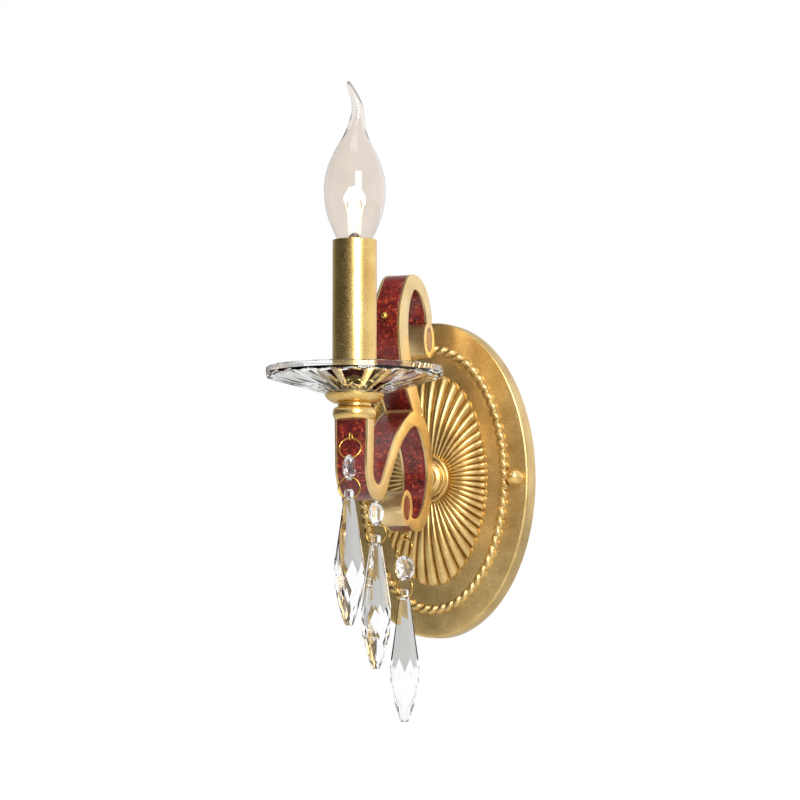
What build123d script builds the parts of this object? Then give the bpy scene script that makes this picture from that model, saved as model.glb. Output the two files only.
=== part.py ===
"""Candle-arm wall sconce: oval cast plate, enamelled scroll arm, glass drip dish, flame-tip bulb
and three crystal pendants. Millimetres, +Z up, the front faces -Y, the wall is the plane Y = 0."""
from build123d import *
import math
import os

os.makedirs("parts", exist_ok=True)

# How far a cutting shape runs past the faces it cuts
overcut = 1.0
deep_overcut = 3.0

# Wall plate
plate_width = 119.0
plate_height = 185.0
plate_depth = 12.2
plate_wall = 1.8
plate_bevel = 1.4
rope_width = 90.0
rope_height = 152.4
rope_thickness = 6.2
rope_proud = 2.9
rope_chamfer = 1.8
sun_width = 65.0
sun_height = 122.0
sun_rise = 8.0
sun_ridges = 52
sun_scallop = 1.6
sun_ridge_relief = 1.3
sun_lip_relief = 0.8
sun_dome = [(0.1, 0.40, 1.0), (0.28, 0.70, 0.9), (0.6, 0.92, 0.6), (0.9, 0.99, 0.3)]
sun_under_boss = 1.0

# Boss that carries the arm, turned about the Y axis
boss_base_radius = 14.2
boss_step = 3.4
boss_neck_radius = 10.6
boss_seat_radius = 8.4
boss_length = 12.2
boss_root = 2.0
boss_rim_round = 1.4
boss_band = 1.2
boss_dome = 2.2
boss_dome_step = 0.9
boss_sunk = 0.5
seat_margin = 2.0
seat_sunk = 0.4
sun_foot_sunk = 0.8
sun_lip_rise = 1.6
sun_lip_inset = 0.6
sun_back_inset = 3.0

# Mounting bar, studs and wall screws
bar_length = 112.0
bar_height = 20.0
bar_thickness = 2.0
bar_corner = 4.0
slot_spacing = 66.0
slot_width = 4.5
slot_length = 9.0
stud_spacing = 106.0
stud_diameter = 4.0
stud_hole = 4.6
stud_beyond_plate = 5.0
cap_collar_diameter = 7.4
cap_collar_height = 1.6
cap_ball_diameter = 9.2
cap_bore_clearance = 0.08
cap_seat_gap = 0.05
cap_bore_beyond_stud = 0.4
stud_from_wall = 0.2
thread_fit = 0.05
earth_screw_offset = 16.0
earth_screw_diameter = 4.0
earth_screw_head = 7.6
earth_screw_head_height = 2.4
earth_washer_diameter = 9.0
earth_washer_thickness = 0.8

# Terminal block behind the plate
block_width = 22.0
block_height = 14.0
block_depth = 8.0
block_top = -2.0
block_pocket = 3.0
block_pocket_clearance = 0.2
block_screw_diameter = 4.2
block_screw_pitch = 11.0
block_screw_rows = 7.0
block_screw_length = 5.0
block_screw_proud = 0.5
block_screw_slot = 0.8
block_fixing_diameter = 3.0
block_fixing_head = 5.4
block_fixing_head_height = 1.8
block_fixing_height = -8.2

# Scroll arm, drawn in the YZ plane as tangent arcs and cut from a tapering slab
loop_flank_radius = 38.5
loop_flank_turn = 43.5
loop_top_radius = 18.0
loop_top_turn = 72.0
diagonal_bow_radius = 66.0
diagonal_slope = 55.0
diagonal_run = 21.0
bend_radius = 12.5
loop_low_radius = 36.5
loop_low_turn = 39.0
tail_radius = 16.5
tail_turn = 96.0
flank_half = 4.2
top_half = 5.0
diagonal_half = 4.1
bend_half = 4.2
leg_half = 4.6
low_half = 4.8
tail_half = 2.4
leg_top = 26.2
leg_into_collar = 2.0
arm_width_at_leg = 20.5
width_loss_towards_wall = 0.04
width_loss_from_waist = 0.03
waist_height = 36.0
low_roll_inset = 35.3
low_roll_drop = 20.2
low_roll_width = 17.0
low_roll_height = 20.4

# Upper scroll, rising from the loop's crown
scroll_root_inset = 17.0
scroll_root_depth = 4.0
scroll_heading = 127.0
scroll_run = 21.5
scroll_bow_radius = 53.0
scroll_shoulder_radius = 38.0
scroll_shoulder_turn = 42.5
scroll_crown_radius = 11.4
scroll_back_radius = 21.8
scroll_root_half = 5.7
scroll_mid_half = 6.8
scroll_shoulder_half = 5.4
scroll_crown_half = 4.3
scroll_end_half = 4.2
scroll_roll_width = 16.4
scroll_roll_height = 21.0
scroll_roll_below = 10.0
scroll_roll_inset = 0.4

# Enamel laid in the arm's faces
rail_width = 1.3
roll_clearance = 0.4
pocket_depth = 1.3
enamel_sunk = 0.25
enamel_gap = 0.08
roll_rim = 3.2
roll_pocket = 1.0

# Lead inside the arm
channel_height = 3.4
channel_width = 6.4
lead_thickness = 2.2
lead_width = 4.6
lead_bend_radius = 3.2
lead_last_bend = 5.0
lead_entry_turn = 6.0
lead_bore_diameter = 6.0
lead_end_gap = 0.2

# Screw that holds the arm to the boss
arm_screw_drop = 5.0
arm_screw_diameter = 4.0
arm_screw_clearance = 0.1
arm_screw_head_diameter = 6.4
arm_screw_head_height = 2.6
arm_screw_socket = 2.6
arm_screw_recess = 0.6
arm_screw_end = 0.8
arm_nut_across = 7.0
arm_nut_height = 3.2

# Collar, cup, nipple and candle
collar_diameter = 22.6
collar_height = 7.8
collar_flat = 0.8
nipple_diameter = 10.0
nipple_bore = 7.0
nipple_depth_in_arm = 7.0
nipple_fit = 0.04
nipple_end = 0.6
cup_neck_diameter = 19.0
cup_neck_height = 1.6
cup_diameter = 33.4
cup_rise = 5.4
cup_floor_rise = 4.6
cup_recess_diameter = 26.0
cup_wall = 1.0
cup_lip = 1.0
cup_flare_sag = 1.1
nut_across = 14.0
nut_height = 4.0
sleeve_diameter = 25.0
sleeve_wall = 1.0
sleeve_top = 128.4
sleeve_edge = 0.3
dish_diameter = 100.0
dish_rim_height = 5.6
dish_rim_top = 56.2
dish_rim_width = 3.0
dish_seat_gap = 0.3
dish_bore_clearance = 0.6
dish_glass = 4.6
dish_facets = 24
facet_overshoot = 10.0
holder_diameter = 21.6
holder_height = 31.0
holder_bore = 15.4
holder_above_cap = 1.0
bracket_thickness = 1.2
bracket_width = 9.0
bracket_span = 20.0
bracket_hole_clearance = 0.2
bracket_lead_hole = 7.0
holder_screw_spread = 6.0
holder_screw_diameter = 3.0
holder_screw_head = 5.2
holder_screw_head_height = 1.8
holder_screw_grip = 3.0
contact_width = 3.0
contact_thickness = 0.5
contact_gap = 0.1
contact_wall_gap = 0.2
contact_height = 16.0
contact_reach = 11.0

# Flame-tip bulb: height, diameter and sway of each section, from the stub in the cap to the tip
bulb_sections = [(115.2, 12.2, 0.0), (131.0, 20.8, 0.0), (145.0, 31.6, 0.0), (157.0, 34.2, 0.0),
                 (170.5, 30.0, 0.0), (183.0, 17.8, 0.0), (195.0, 9.0, 1.2), (203.0, 6.8, 1.6),
                 (209.0, 5.4, 0.0), (213.5, 4.0, -2.0), (216.6, 2.4, -3.6)]
bulb_hollow_sections = 7
bulb_sway_heading = 23.0
bulb_glass_wall = 0.8
bulb_stub_height = 6.0
bulb_cap_diameter = 13.9
bulb_cap_wall = 0.7
bulb_cap_fit = 0.1
bulb_cap_height = 20.0
bulb_cap_top = 115.0
bulb_thread_pitch = 2.8
bulb_thread_depth = 0.5
bulb_thread_turns = 5
bulb_thread_flank = 0.3
bulb_insulator_height = 3.4
bulb_insulator_diameter = 10.4
bulb_button_diameter = 5.0
bulb_button_height = 1.6
stem_diameter = 7.0
stem_height = 23.0
stem_flare_diameter = 9.6
stem_tip_diameter = 4.6
stem_shoulder = 2.0
support_diameter = 0.7
support_foot = 1.4
support_spread = 4.6
support_height = 15.0
support_sunk = 1.5
filament_diameter = 1.4
filament_rise = 4.2
filament_gap = 0.1

# Pendants: eye, ring, bead, ring and drop, from the front to the wall
eye_wire = 1.1
eye_diameter = 5.2
eye_stem = 2.2
back_eye_stem = 1.8
slope_eye_stem = 4.4
slope_eye_root = 1.8
eye_sunk = 1.4
ring_wire = 0.9
ring_diameter = 13.2
link_clearance = 0.12
bead_diameter = 14.2
bead_thickness = 6.4
bead_table = 7.0
bead_girdle = 1.2
bead_hole = 2.2
bead_hole_inset = 2.0
drop_sections = [(0.0, 4.6), (0.9, 5.5), (5.0, 5.5), (5.4, 4.6), (6.2, 8.0), (38.0, 15.6),
                 (47.0, 17.4), (60.0, 14.0), (69.5, 9.4), (76.0, 5.8)]
drop_neck = 5.5
drop_hole = 2.2
drop_hole_inset = 5.2
front_eye_height = 16.6
front_eye_side = 1.0
middle_eye_side = -1.0
bead_rest_gap = 0.3
middle_eye_inset = 58.8
back_eye_inset = 19.4
pendant_yaw = (12.0, 0.0, -22.0)

# Small pins of the upper scroll
pin_ball_diameter = 4.2
pin_stem_diameter = 1.6
pin_length = 3.6
pin_height = 89.8
back_screw_height = 89.0
back_screw_diameter = 4.6
back_screw_socket = 2.4
back_screw_proud = 0.5
back_screw_depth = 5.0


def save(shape, name):
    """Write one sub-part."""
    export_step(shape, "parts/" + name + ".step")


def trace(start, heading, legs, steps=9):
    """Points and headings along a chain of arcs (radius, turn) and straight runs (0, length)."""
    y, z = start
    angle = math.radians(heading)
    track = [(y, z, angle)]
    for radius, amount in legs:
        for step in range(steps):
            if radius == 0:
                y += math.cos(angle) * amount / steps
                z += math.sin(angle) * amount / steps
            else:
                turn = math.radians(amount) / steps
                chord = 2 * radius * math.sin(abs(turn) / 2)
                y += math.cos(angle + turn / 2) * chord
                z += math.sin(angle + turn / 2) * chord
                angle += turn
            track.append((y, z, angle))
    return track


def blend(values, count):
    """Spread a few values smoothly over a track's points."""
    spread = []
    for index in range(count):
        place = index / (count - 1) * (len(values) - 1)
        low = min(int(place), len(values) - 2)
        part = place - low
        ease = part * part * (3 - 2 * part)
        spread.append(values[low] * (1 - ease) + values[low + 1] * ease)
    return spread


def rail(track, halves, side, inset=0.0):
    """The track pushed out to one side by its half thickness less an inset."""
    points = []
    for (y, z, angle), half in zip(track, halves):
        reach = (half - inset) * side
        points.append((y - math.sin(angle) * reach, z + math.cos(angle) * reach))
    return points


def slab(left, right):
    """A wide slab between two rails, centred on X = 0."""
    edges = [Spline(left), Line(left[-1], right[-1]), Spline(right), Line(left[0], right[0])]
    return extrude(Plane.YZ * make_face(edges), amount=arm_width_at_leg, both=True)


def tapered(shape, inset=0.0):
    """Cut a slab to the arm's tapering width, less an inset on each side."""
    for side in (1, -1):
        for slope in (width_loss_from_waist, -width_loss_from_waist):
            reach = arm_width_at_leg / 2 - inset
            tilt = (side, width_loss_towards_wall / 2, slope / 2)
            face = Plane(origin=(side * reach, leg_y, waist_height), z_dir=tilt)
            shape = split(shape, bisect_by=face, keep=Keep.BOTTOM)
    return shape


def half_width(y, z):
    """The arm's half width at a place in the YZ plane."""
    loss = width_loss_towards_wall * (y - leg_y) + width_loss_from_waist * abs(z - waist_height)
    return (arm_width_at_leg - loss) / 2


def turned(profile, base=Plane.XZ):
    """Revolve a closed (radius, height) outline about the Z axis."""
    return revolve(base * make_face(Polyline(*profile, close=True)), axis=Axis.Z)


def rod_y(radius, near, far, x=0.0, z=0.0):
    """A round rod along Y from near (towards the wall) to far."""
    rod = Cylinder(radius, near - far, align=(Align.CENTER, Align.CENTER, Align.MIN))
    return Pos(x, near, z) * Rot(90, 0, 0) * rod


def rod_z(radius, low, high, x=0.0, y=0.0):
    """A round rod along Z from low to high."""
    return Pos(x, y, low) * Cylinder(radius, high - low, align=(Align.CENTER, Align.CENTER, Align.MIN))


def turned_y(profile):
    """Revolve a closed (radius, distance from the wall) outline about the Y axis."""
    outline = [(radius, -distance) for radius, distance in profile]
    return revolve(make_face(Polyline(*outline, close=True)), axis=Axis.Y)


def ellipse_block(width, height, near, far):
    """An oval block about the Y axis from near the wall to far from it."""
    face = Plane(origin=(0, -near, 0), x_dir=(1, 0, 0), z_dir=(0, -1, 0)) * Ellipse(width / 2, height / 2)
    return extrude(face, amount=far - near)


# Places that follow from the sizes above
boss_top = plate_depth + sun_rise + boss_length
loop_back = (-(boss_top + flank_half - seat_sunk), 0.0)
total_turn = 90 + diagonal_slope
bow_turn = total_turn - loop_flank_turn - loop_top_turn
upper_legs = [(loop_flank_radius, loop_flank_turn), (loop_top_radius, loop_top_turn),
              (diagonal_bow_radius, bow_turn), (0, diagonal_run), (bend_radius, -total_turn)]
upper_track = trace(loop_back, 90, upper_legs)
leg_y = upper_track[-1][0]
leg_run = leg_top + leg_into_collar - upper_track[-1][1]
upper_track = trace(loop_back, 90, upper_legs + [(0, leg_run)])
upper_halves = blend([flank_half, top_half, diagonal_half, diagonal_half, bend_half, leg_half, leg_half],
                     len(upper_track))
lower_track = trace(loop_back, -90, [(loop_low_radius, -loop_low_turn), (tail_radius, -tail_turn)])
lower_halves = blend([flank_half, low_half, tail_half], len(lower_track))
crown_z = max(point[1] for point in upper_track[:30]) + top_half
scroll_start = (loop_back[0] - scroll_root_inset, crown_z - scroll_root_depth)
scroll_legs = [(0, scroll_run), (scroll_bow_radius, 90 - scroll_heading),
               (scroll_shoulder_radius, -scroll_shoulder_turn),
               (scroll_crown_radius, scroll_shoulder_turn - 90), (scroll_back_radius, -90)]
scroll_track = trace(scroll_start, scroll_heading, scroll_legs)
scroll_halves = blend([scroll_root_half, scroll_mid_half, scroll_mid_half, scroll_shoulder_half,
                       scroll_crown_half, scroll_end_half], len(scroll_track))
scroll_end = scroll_track[-1]
low_roll_centre = (loop_back[0] - low_roll_inset, -low_roll_drop)
scroll_roll_centre = (scroll_end[0] - scroll_roll_inset, scroll_end[1] - scroll_roll_below)


# Arm casting
def oval_bar(centre, width, height):
    """An oval bar across the arm."""
    face = Plane(origin=(0, centre[0], centre[1]), x_dir=(0, 1, 0), z_dir=(1, 0, 0))
    return extrude(face * Ellipse(width / 2, height / 2), amount=arm_width_at_leg, both=True)


def band(track, halves):
    """The full band along a track."""
    return slab(rail(track, halves, 1), rail(track, halves, -1))


def in_oval(point, centre, width, height, margin):
    """Whether a point of the YZ plane lies inside an oval grown by a margin."""
    across = (point[0] - centre[0]) / (width / 2 + margin)
    up = (point[1] - centre[1]) / (height / 2 + margin)
    return across * across + up * up < 1


def strip(runs, outer_inset, inner_inset):
    """The layer under one face of the arm, along runs of (track, halves, side)."""
    outer = []
    inner = []
    for track, halves, side in runs:
        outer += rail(track, halves, side, outer_inset)
        inner += rail(track, halves, side, inner_inset)
    return slab(outer, inner)


low_free = [index for index in range(len(lower_track))
            if not in_oval(rail(lower_track, lower_halves, -1)[index], low_roll_centre,
                           low_roll_width, low_roll_height, rail_width)]
low_stop = next(index for index in range(len(lower_track)) if index not in low_free) - 1
roll_stop = next((index for index, point in enumerate(rail(scroll_track, scroll_halves, -1))
                  if index > 30 and in_oval(point, scroll_roll_centre, scroll_roll_width,
                                            scroll_roll_height, roll_clearance)), len(scroll_track))
crown_split = next(index for index, point in enumerate(rail(scroll_track, scroll_halves, 1))
                   if point[1] > crown_z - pocket_depth)
front_root = rail(scroll_track, scroll_halves, 1)[crown_split]
diagonal_start = next(index for index, point in enumerate(rail(upper_track, upper_halves, -1))
                      if point[0] < front_root[0] + pocket_depth)
lower_back_start = next(index for index, point in enumerate(lower_track)
                        if point[1] < -boss_seat_radius - rail_width)
upper_back_start = next(index for index, point in enumerate(upper_track)
                        if point[1] > boss_seat_radius + rail_width)
back_root = rail(scroll_track, scroll_halves, -1)[2]
upper_back_stop = next(index for index, point in enumerate(rail(upper_track, upper_halves, -1))
                       if point[0] < back_root[0] + rail_width) - 1
inner_start = next(index for index, point in enumerate(rail(scroll_track, scroll_halves, -1))
                   if point[1] > crown_z + rail_width)


def face_runs():
    """Each enamelled face of the arm, by name, as runs of (track, halves, side)."""
    back_to_front = (list(reversed(lower_track[1:low_stop])), list(reversed(lower_halves[1:low_stop])), -1)
    return {
        "enamel_leg_and_loop": [back_to_front, (upper_track, upper_halves, 1)],
        "enamel_diagonal": [(upper_track[diagonal_start:], upper_halves[diagonal_start:], -1)],
        "enamel_loop_tail": [(lower_track[lower_back_start:], lower_halves[lower_back_start:], 1)],
        "enamel_loop_back": [(upper_track[upper_back_start:upper_back_stop],
                              upper_halves[upper_back_start:upper_back_stop], -1)],
        "enamel_scroll_outer": [(scroll_track[crown_split:-2], scroll_halves[crown_split:-2], 1)],
        "enamel_scroll_inner": [(scroll_track[inner_start:roll_stop],
                                 scroll_halves[inner_start:roll_stop], -1)],
    }


rolls = [(low_roll_centre, low_roll_width, low_roll_height),
         (scroll_roll_centre, scroll_roll_width, scroll_roll_height)]
runs_by_name = face_runs()
arm = band(upper_track, upper_halves) + band(lower_track, lower_halves)
arm += band(scroll_track, scroll_halves)
for centre, width, height in rolls:
    arm += oval_bar(centre, width, height)
arm = tapered(arm)
arm -= Box(2 * arm_width_at_leg, 2 * boss_top, 2 * (boss_seat_radius + seat_margin))
for name, runs in runs_by_name.items():
    arm -= tapered(strip(runs, -overcut, pocket_depth), rail_width)
for centre, width, height in rolls:
    core = oval_bar(centre, width - 2 * roll_rim, height - 2 * roll_rim)
    arm -= core - tapered(core, roll_pocket)

# Collar on the leg, with the nipple's thread and the lead's way through the arm
collar_top = leg_top + collar_height
collar = rod_z(collar_diameter / 2, leg_top, collar_top, y=leg_y)
collar = fillet(collar.edges().filter_by(GeomType.CIRCLE), (collar_height - collar_flat) / 2)
arm += collar
lead_start = next(index for index, point in enumerate(upper_track)
                  if math.degrees(point[2]) > 90 + lead_entry_turn)
lead_joint = upper_track[lead_start]
entry_heading = math.degrees(lead_joint[2]) + 180
entry_track = trace(lead_joint[:2], entry_heading, [(lead_bend_radius, 360 - entry_heading)])
lead_z = entry_track[-1][1]
block_y = -(bar_thickness + block_depth / 2)
inward_run = block_y - lead_last_bend - entry_track[-1][0]
downward_run = lead_z - lead_last_bend - (block_top - block_pocket + lead_end_gap)
entry_track = trace(lead_joint[:2], entry_heading,
                    [(lead_bend_radius, 360 - entry_heading), (0, inward_run), (lead_last_bend, -90),
                     (0, downward_run)])
cup_floor = collar_top + cup_floor_rise
holder_top = bulb_cap_top + holder_above_cap
holder_base = holder_top - holder_height
lead_top = holder_base - lead_end_gap
rise_start = upper_track[-1][1]
rise_step = (lead_top - rise_start) / 4
rise_track = [(leg_y, rise_start + rise_step * step, math.pi / 2) for step in (1, 2, 3, 4)]
entry_back = [(y, z, angle - math.pi) for y, z, angle in reversed(entry_track[1:])]
lead_track = entry_back + upper_track[lead_start:] + rise_track
channel_track = entry_back + upper_track[lead_start:]


def flat_lead(track, height, width):
    """A flat strip of even thickness along a track."""
    halves = [height / 2] * len(track)
    edges_left = rail(track, halves, 1)
    edges_right = rail(track, halves, -1)
    edges = [Spline(edges_left), Line(edges_left[-1], edges_right[-1]), Spline(edges_right),
             Line(edges_left[0], edges_right[0])]
    return extrude(Plane.YZ * make_face(edges), amount=width / 2, both=True)


arm -= flat_lead(channel_track, channel_height, channel_width)
arm -= rod_z(nipple_diameter / 2, collar_top - nipple_depth_in_arm, collar_top + overcut, y=leg_y)
arm_screw_z = -arm_screw_drop
loop_inner_y = loop_back[0] - flank_half
screw_head_y = loop_inner_y + pocket_depth + arm_screw_recess
screw_hole_radius = arm_screw_diameter / 2 + arm_screw_clearance
arm -= rod_y(screw_hole_radius, -boss_top + overcut, loop_inner_y - overcut, z=arm_screw_z)
arm -= rod_y(arm_screw_head_diameter / 2 + arm_screw_clearance, screw_head_y, loop_inner_y - overcut,
             z=arm_screw_z)

# Eyes, pins and the face screw of the scroll are set in blind holes
front_eye_y = leg_y - leg_half + pocket_depth
eye_hole_radius = eye_wire / 2 + thread_fit
eye_glaze_radius = eye_wire / 2 + 2 * thread_fit


def underside(y):
    """The lowest height of the arm's bands at a distance from the wall."""
    best = None
    for track, halves, side in ((upper_track, upper_halves, 1), (lower_track, lower_halves, 1)):
        edge = rail(track, halves, side)
        for first, last in zip(edge, edge[1:]):
            if min(first[0], last[0]) <= y <= max(first[0], last[0]) and first[0] != last[0]:
                height = first[1] + (last[1] - first[1]) * (y - first[0]) / (last[0] - first[0])
                best = height if best is None else min(best, height)
    return best


middle_eye_y = loop_back[0] - middle_eye_inset
back_eye_y = loop_back[0] - back_eye_inset
eye_places = [(front_eye_side, front_eye_y, front_eye_height),
              (middle_eye_side, middle_eye_y, underside(middle_eye_y) + slope_eye_root),
              (0.0, back_eye_y, underside(back_eye_y) + pocket_depth)]
arm -= rod_y(eye_hole_radius, front_eye_y + eye_sunk + link_clearance, front_eye_y - pocket_depth,
             x=front_eye_side, z=front_eye_height)
for x, y, z in eye_places[1:]:
    arm -= rod_z(eye_hole_radius, z - pocket_depth, z + eye_sunk + link_clearance, x=x, y=y)
outer_edge = rail(scroll_track, scroll_halves, 1)
inner_edge = rail(scroll_track, scroll_halves, -1)
back_edge = inner_edge[3 * len(inner_edge) // 4:]
pin_y = min(outer_edge[:len(outer_edge) // 2], key=lambda point: abs(point[1] - pin_height))[0]
back_screw_y = min(back_edge, key=lambda point: abs(point[1] - back_screw_height))[0]
pin_radius = pin_stem_diameter / 2
back_screw_radius = back_screw_diameter / 2
pin_depth = pin_y + pin_length
pin_ball_y = pin_y - pin_ball_diameter / 2 - thread_fit
arm -= rod_y(pin_radius + thread_fit, pin_depth + link_clearance, pin_y - overcut, z=pin_height)
arm -= rod_y(back_screw_radius + thread_fit, back_screw_y + back_screw_depth + link_clearance,
             back_screw_y - overcut, z=back_screw_height)

# Enamel
fill = {}
for name, runs in runs_by_name.items():
    layer = tapered(strip(runs, enamel_sunk, pocket_depth - enamel_gap), rail_width + enamel_gap)
    fill[name] = layer
screw_clear = arm_screw_head_diameter / 2 + 2 * arm_screw_clearance
fill["enamel_leg_and_loop"] -= rod_y(screw_clear, -boss_top, loop_inner_y - deep_overcut, z=arm_screw_z)
fill["enamel_leg_and_loop"] -= rod_y(eye_glaze_radius, front_eye_y + deep_overcut,
                                     front_eye_y - deep_overcut,
                                     x=front_eye_side, z=front_eye_height)
for name, (x, y, z) in zip(("enamel_leg_and_loop", "enamel_loop_tail"), eye_places[1:]):
    fill[name] -= rod_z(eye_glaze_radius, z - deep_overcut, z + deep_overcut, x=x, y=y)
fill["enamel_scroll_outer"] -= rod_y(pin_radius + 2 * thread_fit, pin_y + deep_overcut,
                                     pin_y - deep_overcut, z=pin_height)
fill["enamel_scroll_inner"] -= rod_y(back_screw_radius + 2 * thread_fit, back_screw_y + deep_overcut,
                                     back_screw_y - deep_overcut, z=back_screw_height)
for name in ("enamel_diagonal", "enamel_leg_and_loop"):
    fill[name] -= rod_z(collar_diameter / 2, leg_top - enamel_gap, collar_top, y=leg_y)
ends = []
for centre, width, height in rolls:
    core = oval_bar(centre, width - 2 * roll_rim - 2 * enamel_gap, height - 2 * roll_rim - 2 * enamel_gap)
    ends += (tapered(core, enamel_sunk) - tapered(core, roll_pocket - enamel_gap)).solids()
fill["enamel_roll_ends"] = Compound(children=ends)
for name, layer in fill.items():
    save(layer, name)
save(arm, "scroll_arm")

# Wall plate with its rope ring, fluted sun and boss
plate = ellipse_block(plate_width, plate_height, 0, plate_depth)
front_edges = plate.edges().sort_by(Axis.Y)[0]
plate = chamfer(front_edges, plate_bevel)
plate -= ellipse_block(plate_width - 2 * plate_wall, plate_height - 2 * plate_wall, -overcut,
                       plate_depth - plate_wall)
rope = ellipse_block(rope_width + rope_thickness, rope_height + rope_thickness,
                     plate_depth - boss_sunk, plate_depth + rope_proud)
rope = chamfer(rope.edges().sort_by(Axis.Y)[0], rope_chamfer)
rope -= ellipse_block(rope_width - rope_thickness, rope_height - rope_thickness, plate_depth - overcut,
                      plate_depth + rope_proud + overcut)
plate += rope


def scalloped(width, height, distance, bulge, relief=0.0):
    """A closed outline of shallow arcs, one for each ray of the sun, that swell outwards and forwards."""
    corners = []
    middles = []
    for ridge in range(sun_ridges):
        for part, bag in ((-0.5, corners), (0.0, middles)):
            angle = 2 * math.pi * (ridge + part) / sun_ridges
            reach = 1 / math.hypot(math.cos(angle) / (width / 2), math.sin(angle) / (height / 2))
            grow = 0.0 if part else bulge
            proud = 0.0 if part else relief
            across = (reach + grow) * math.cos(angle)
            bag.append((across, -distance - proud, (reach + grow) * math.sin(angle)))
    arcs = []
    for ridge in range(sun_ridges):
        arcs.append(ThreePointArc(corners[ridge], middles[ridge], corners[(ridge + 1) % sun_ridges]))
    return Wire(arcs)


sun_foot = plate_depth - sun_foot_sunk
sun_lip = plate_depth + sun_lip_rise
sun_crown = plate_depth + sun_rise
shoulder_width = sun_width - 2 * sun_lip_inset
shoulder_height = sun_height - 2 * sun_lip_inset
boss_wide = 2 * (boss_base_radius - sun_under_boss)
sun_wires = [scalloped(sun_width, sun_height, sun_foot, sun_scallop),
             scalloped(shoulder_width, shoulder_height, sun_lip, sun_scallop, sun_lip_relief)]
for inward, upward, share in sun_dome:
    sun_wires.append(scalloped(shoulder_width + (boss_wide - shoulder_width) * inward,
                               shoulder_height + (boss_wide - shoulder_height) * inward,
                               sun_lip + (sun_crown - sun_lip) * upward, 0.0, sun_ridge_relief * share))
sun_wires.append(scalloped(boss_wide, boss_wide, sun_crown, 0.0))
plate += Solid.make_loft(sun_wires, True)
boss_outline = [(0, plate_depth - boss_sunk), (boss_base_radius, plate_depth - boss_sunk),
                (boss_base_radius, sun_crown + boss_step - boss_rim_round),
                (boss_base_radius - boss_rim_round, sun_crown + boss_step),
                (boss_neck_radius, sun_crown + boss_step + boss_root),
                (boss_neck_radius, sun_crown + boss_step + boss_root + boss_band),
                (boss_neck_radius - boss_dome_step, boss_top - boss_dome),
                (boss_seat_radius, boss_top), (0, boss_top)]
plate += turned_y(boss_outline)

# The sun is hollow behind, down to the wall of the boss
hollow_mouth = plate_depth - plate_wall
hollow_roof = sun_crown - plate_wall
roof_radius = boss_base_radius - sun_back_inset


def oval_wire(width, height, distance):
    """An oval outline about the Y axis."""
    plane = Plane(origin=(0, -distance, 0), x_dir=(1, 0, 0), z_dir=(0, -1, 0))
    return (plane * Ellipse(width / 2, height / 2)).wire()


mouth = oval_wire(sun_width - 2 * sun_back_inset, sun_height - 2 * sun_back_inset, hollow_mouth - boss_sunk)
roof = oval_wire(2 * roof_radius, 2 * roof_radius, hollow_roof)
plate -= Solid.make_loft([mouth, roof], True)
plate -= rod_y(lead_bore_diameter / 2, overcut, -boss_top - overcut, z=lead_z)
plate -= rod_y(screw_hole_radius, overcut, -boss_top - overcut, z=arm_screw_z)
stud_places = (stud_spacing / 2, -stud_spacing / 2)
for x in stud_places:
    plate -= rod_y(stud_hole / 2, overcut, -plate_depth - overcut, x=x)
save(plate, "back_plate")


def hexagon(across, height):
    """A six-sided prism standing on the origin."""
    return extrude(RegularPolygon(across / 2, 6, major_radius=False), amount=height)


def hexagon_y(across, near, far, x=0.0, z=0.0):
    """A six-sided prism along Y from near (towards the wall) to far."""
    return Pos(x, near, z) * Rot(90, 0, 0) * hexagon(across, near - far)


def rod_x(radius, length, y=0.0, z=0.0):
    """A round rod along X, centred on X = 0."""
    return Pos(0, y, z) * Rot(0, 90, 0) * Cylinder(radius, length)


def slotted(head, diameter, face, x, z):
    """Cut a driver's slot in a screw head whose face looks away from the wall."""
    depth = block_screw_slot
    return head - Pos(x, face + depth / 2, z) * Box(diameter, depth, block_screw_slot)


# Screw and nut of the arm
nut_near = -hollow_roof
nut_far = nut_near + arm_nut_height
arm_screw = rod_y(arm_screw_head_diameter / 2, screw_head_y, screw_head_y - arm_screw_head_height,
                  z=arm_screw_z)
arm_screw += rod_y(arm_screw_diameter / 2, nut_far + arm_screw_end, screw_head_y, z=arm_screw_z)
socket_floor = screw_head_y - arm_screw_head_height / 2
arm_screw -= hexagon_y(arm_screw_socket, socket_floor, socket_floor - arm_screw_head_height, z=arm_screw_z)
save(arm_screw, "arm_screw")
arm_nut = hexagon_y(arm_nut_across, nut_far, nut_near, z=arm_screw_z)
arm_nut -= rod_y(arm_screw_diameter / 2 + thread_fit, nut_far + overcut, nut_near - overcut, z=arm_screw_z)
save(arm_nut, "arm_nut")

# Mounting bar with its slots, studs and earth screw
bar = Pos(0, -bar_thickness / 2, 0) * Box(bar_length, bar_thickness, bar_height)
bar = fillet(bar.edges().filter_by(Axis.Y), bar_corner)
slot_face = Plane.XZ * SlotOverall(slot_length, slot_width)
for x in (slot_spacing / 2, -slot_spacing / 2):
    bar -= Pos(x, 0, 0) * extrude(slot_face, amount=2 * bar_thickness, both=True)
for x in stud_places:
    bar -= rod_y(stud_diameter / 2 + thread_fit, overcut, -bar_thickness - overcut, x=x)
bar -= rod_y(earth_screw_diameter / 2 + thread_fit, overcut, -bar_thickness - overcut, x=earth_screw_offset)
block_fixing_radius = block_fixing_diameter / 2
bar -= rod_y(block_fixing_radius + thread_fit, overcut, -bar_thickness - overcut, z=block_fixing_height)
save(bar, "mounting_bar")
stud_end = plate_depth + stud_beyond_plate
studs = [rod_y(stud_diameter / 2, -stud_from_wall, -stud_end, x=x) for x in stud_places]
save(Compound(children=studs), "mounting_studs")
washer_face = bar_thickness + earth_washer_thickness
washer = rod_y(earth_washer_diameter / 2, -bar_thickness, -washer_face, x=earth_screw_offset)
washer -= rod_y(earth_screw_diameter / 2 + thread_fit, 0, -washer_face - overcut, x=earth_screw_offset)
save(washer, "earth_washer")
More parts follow.
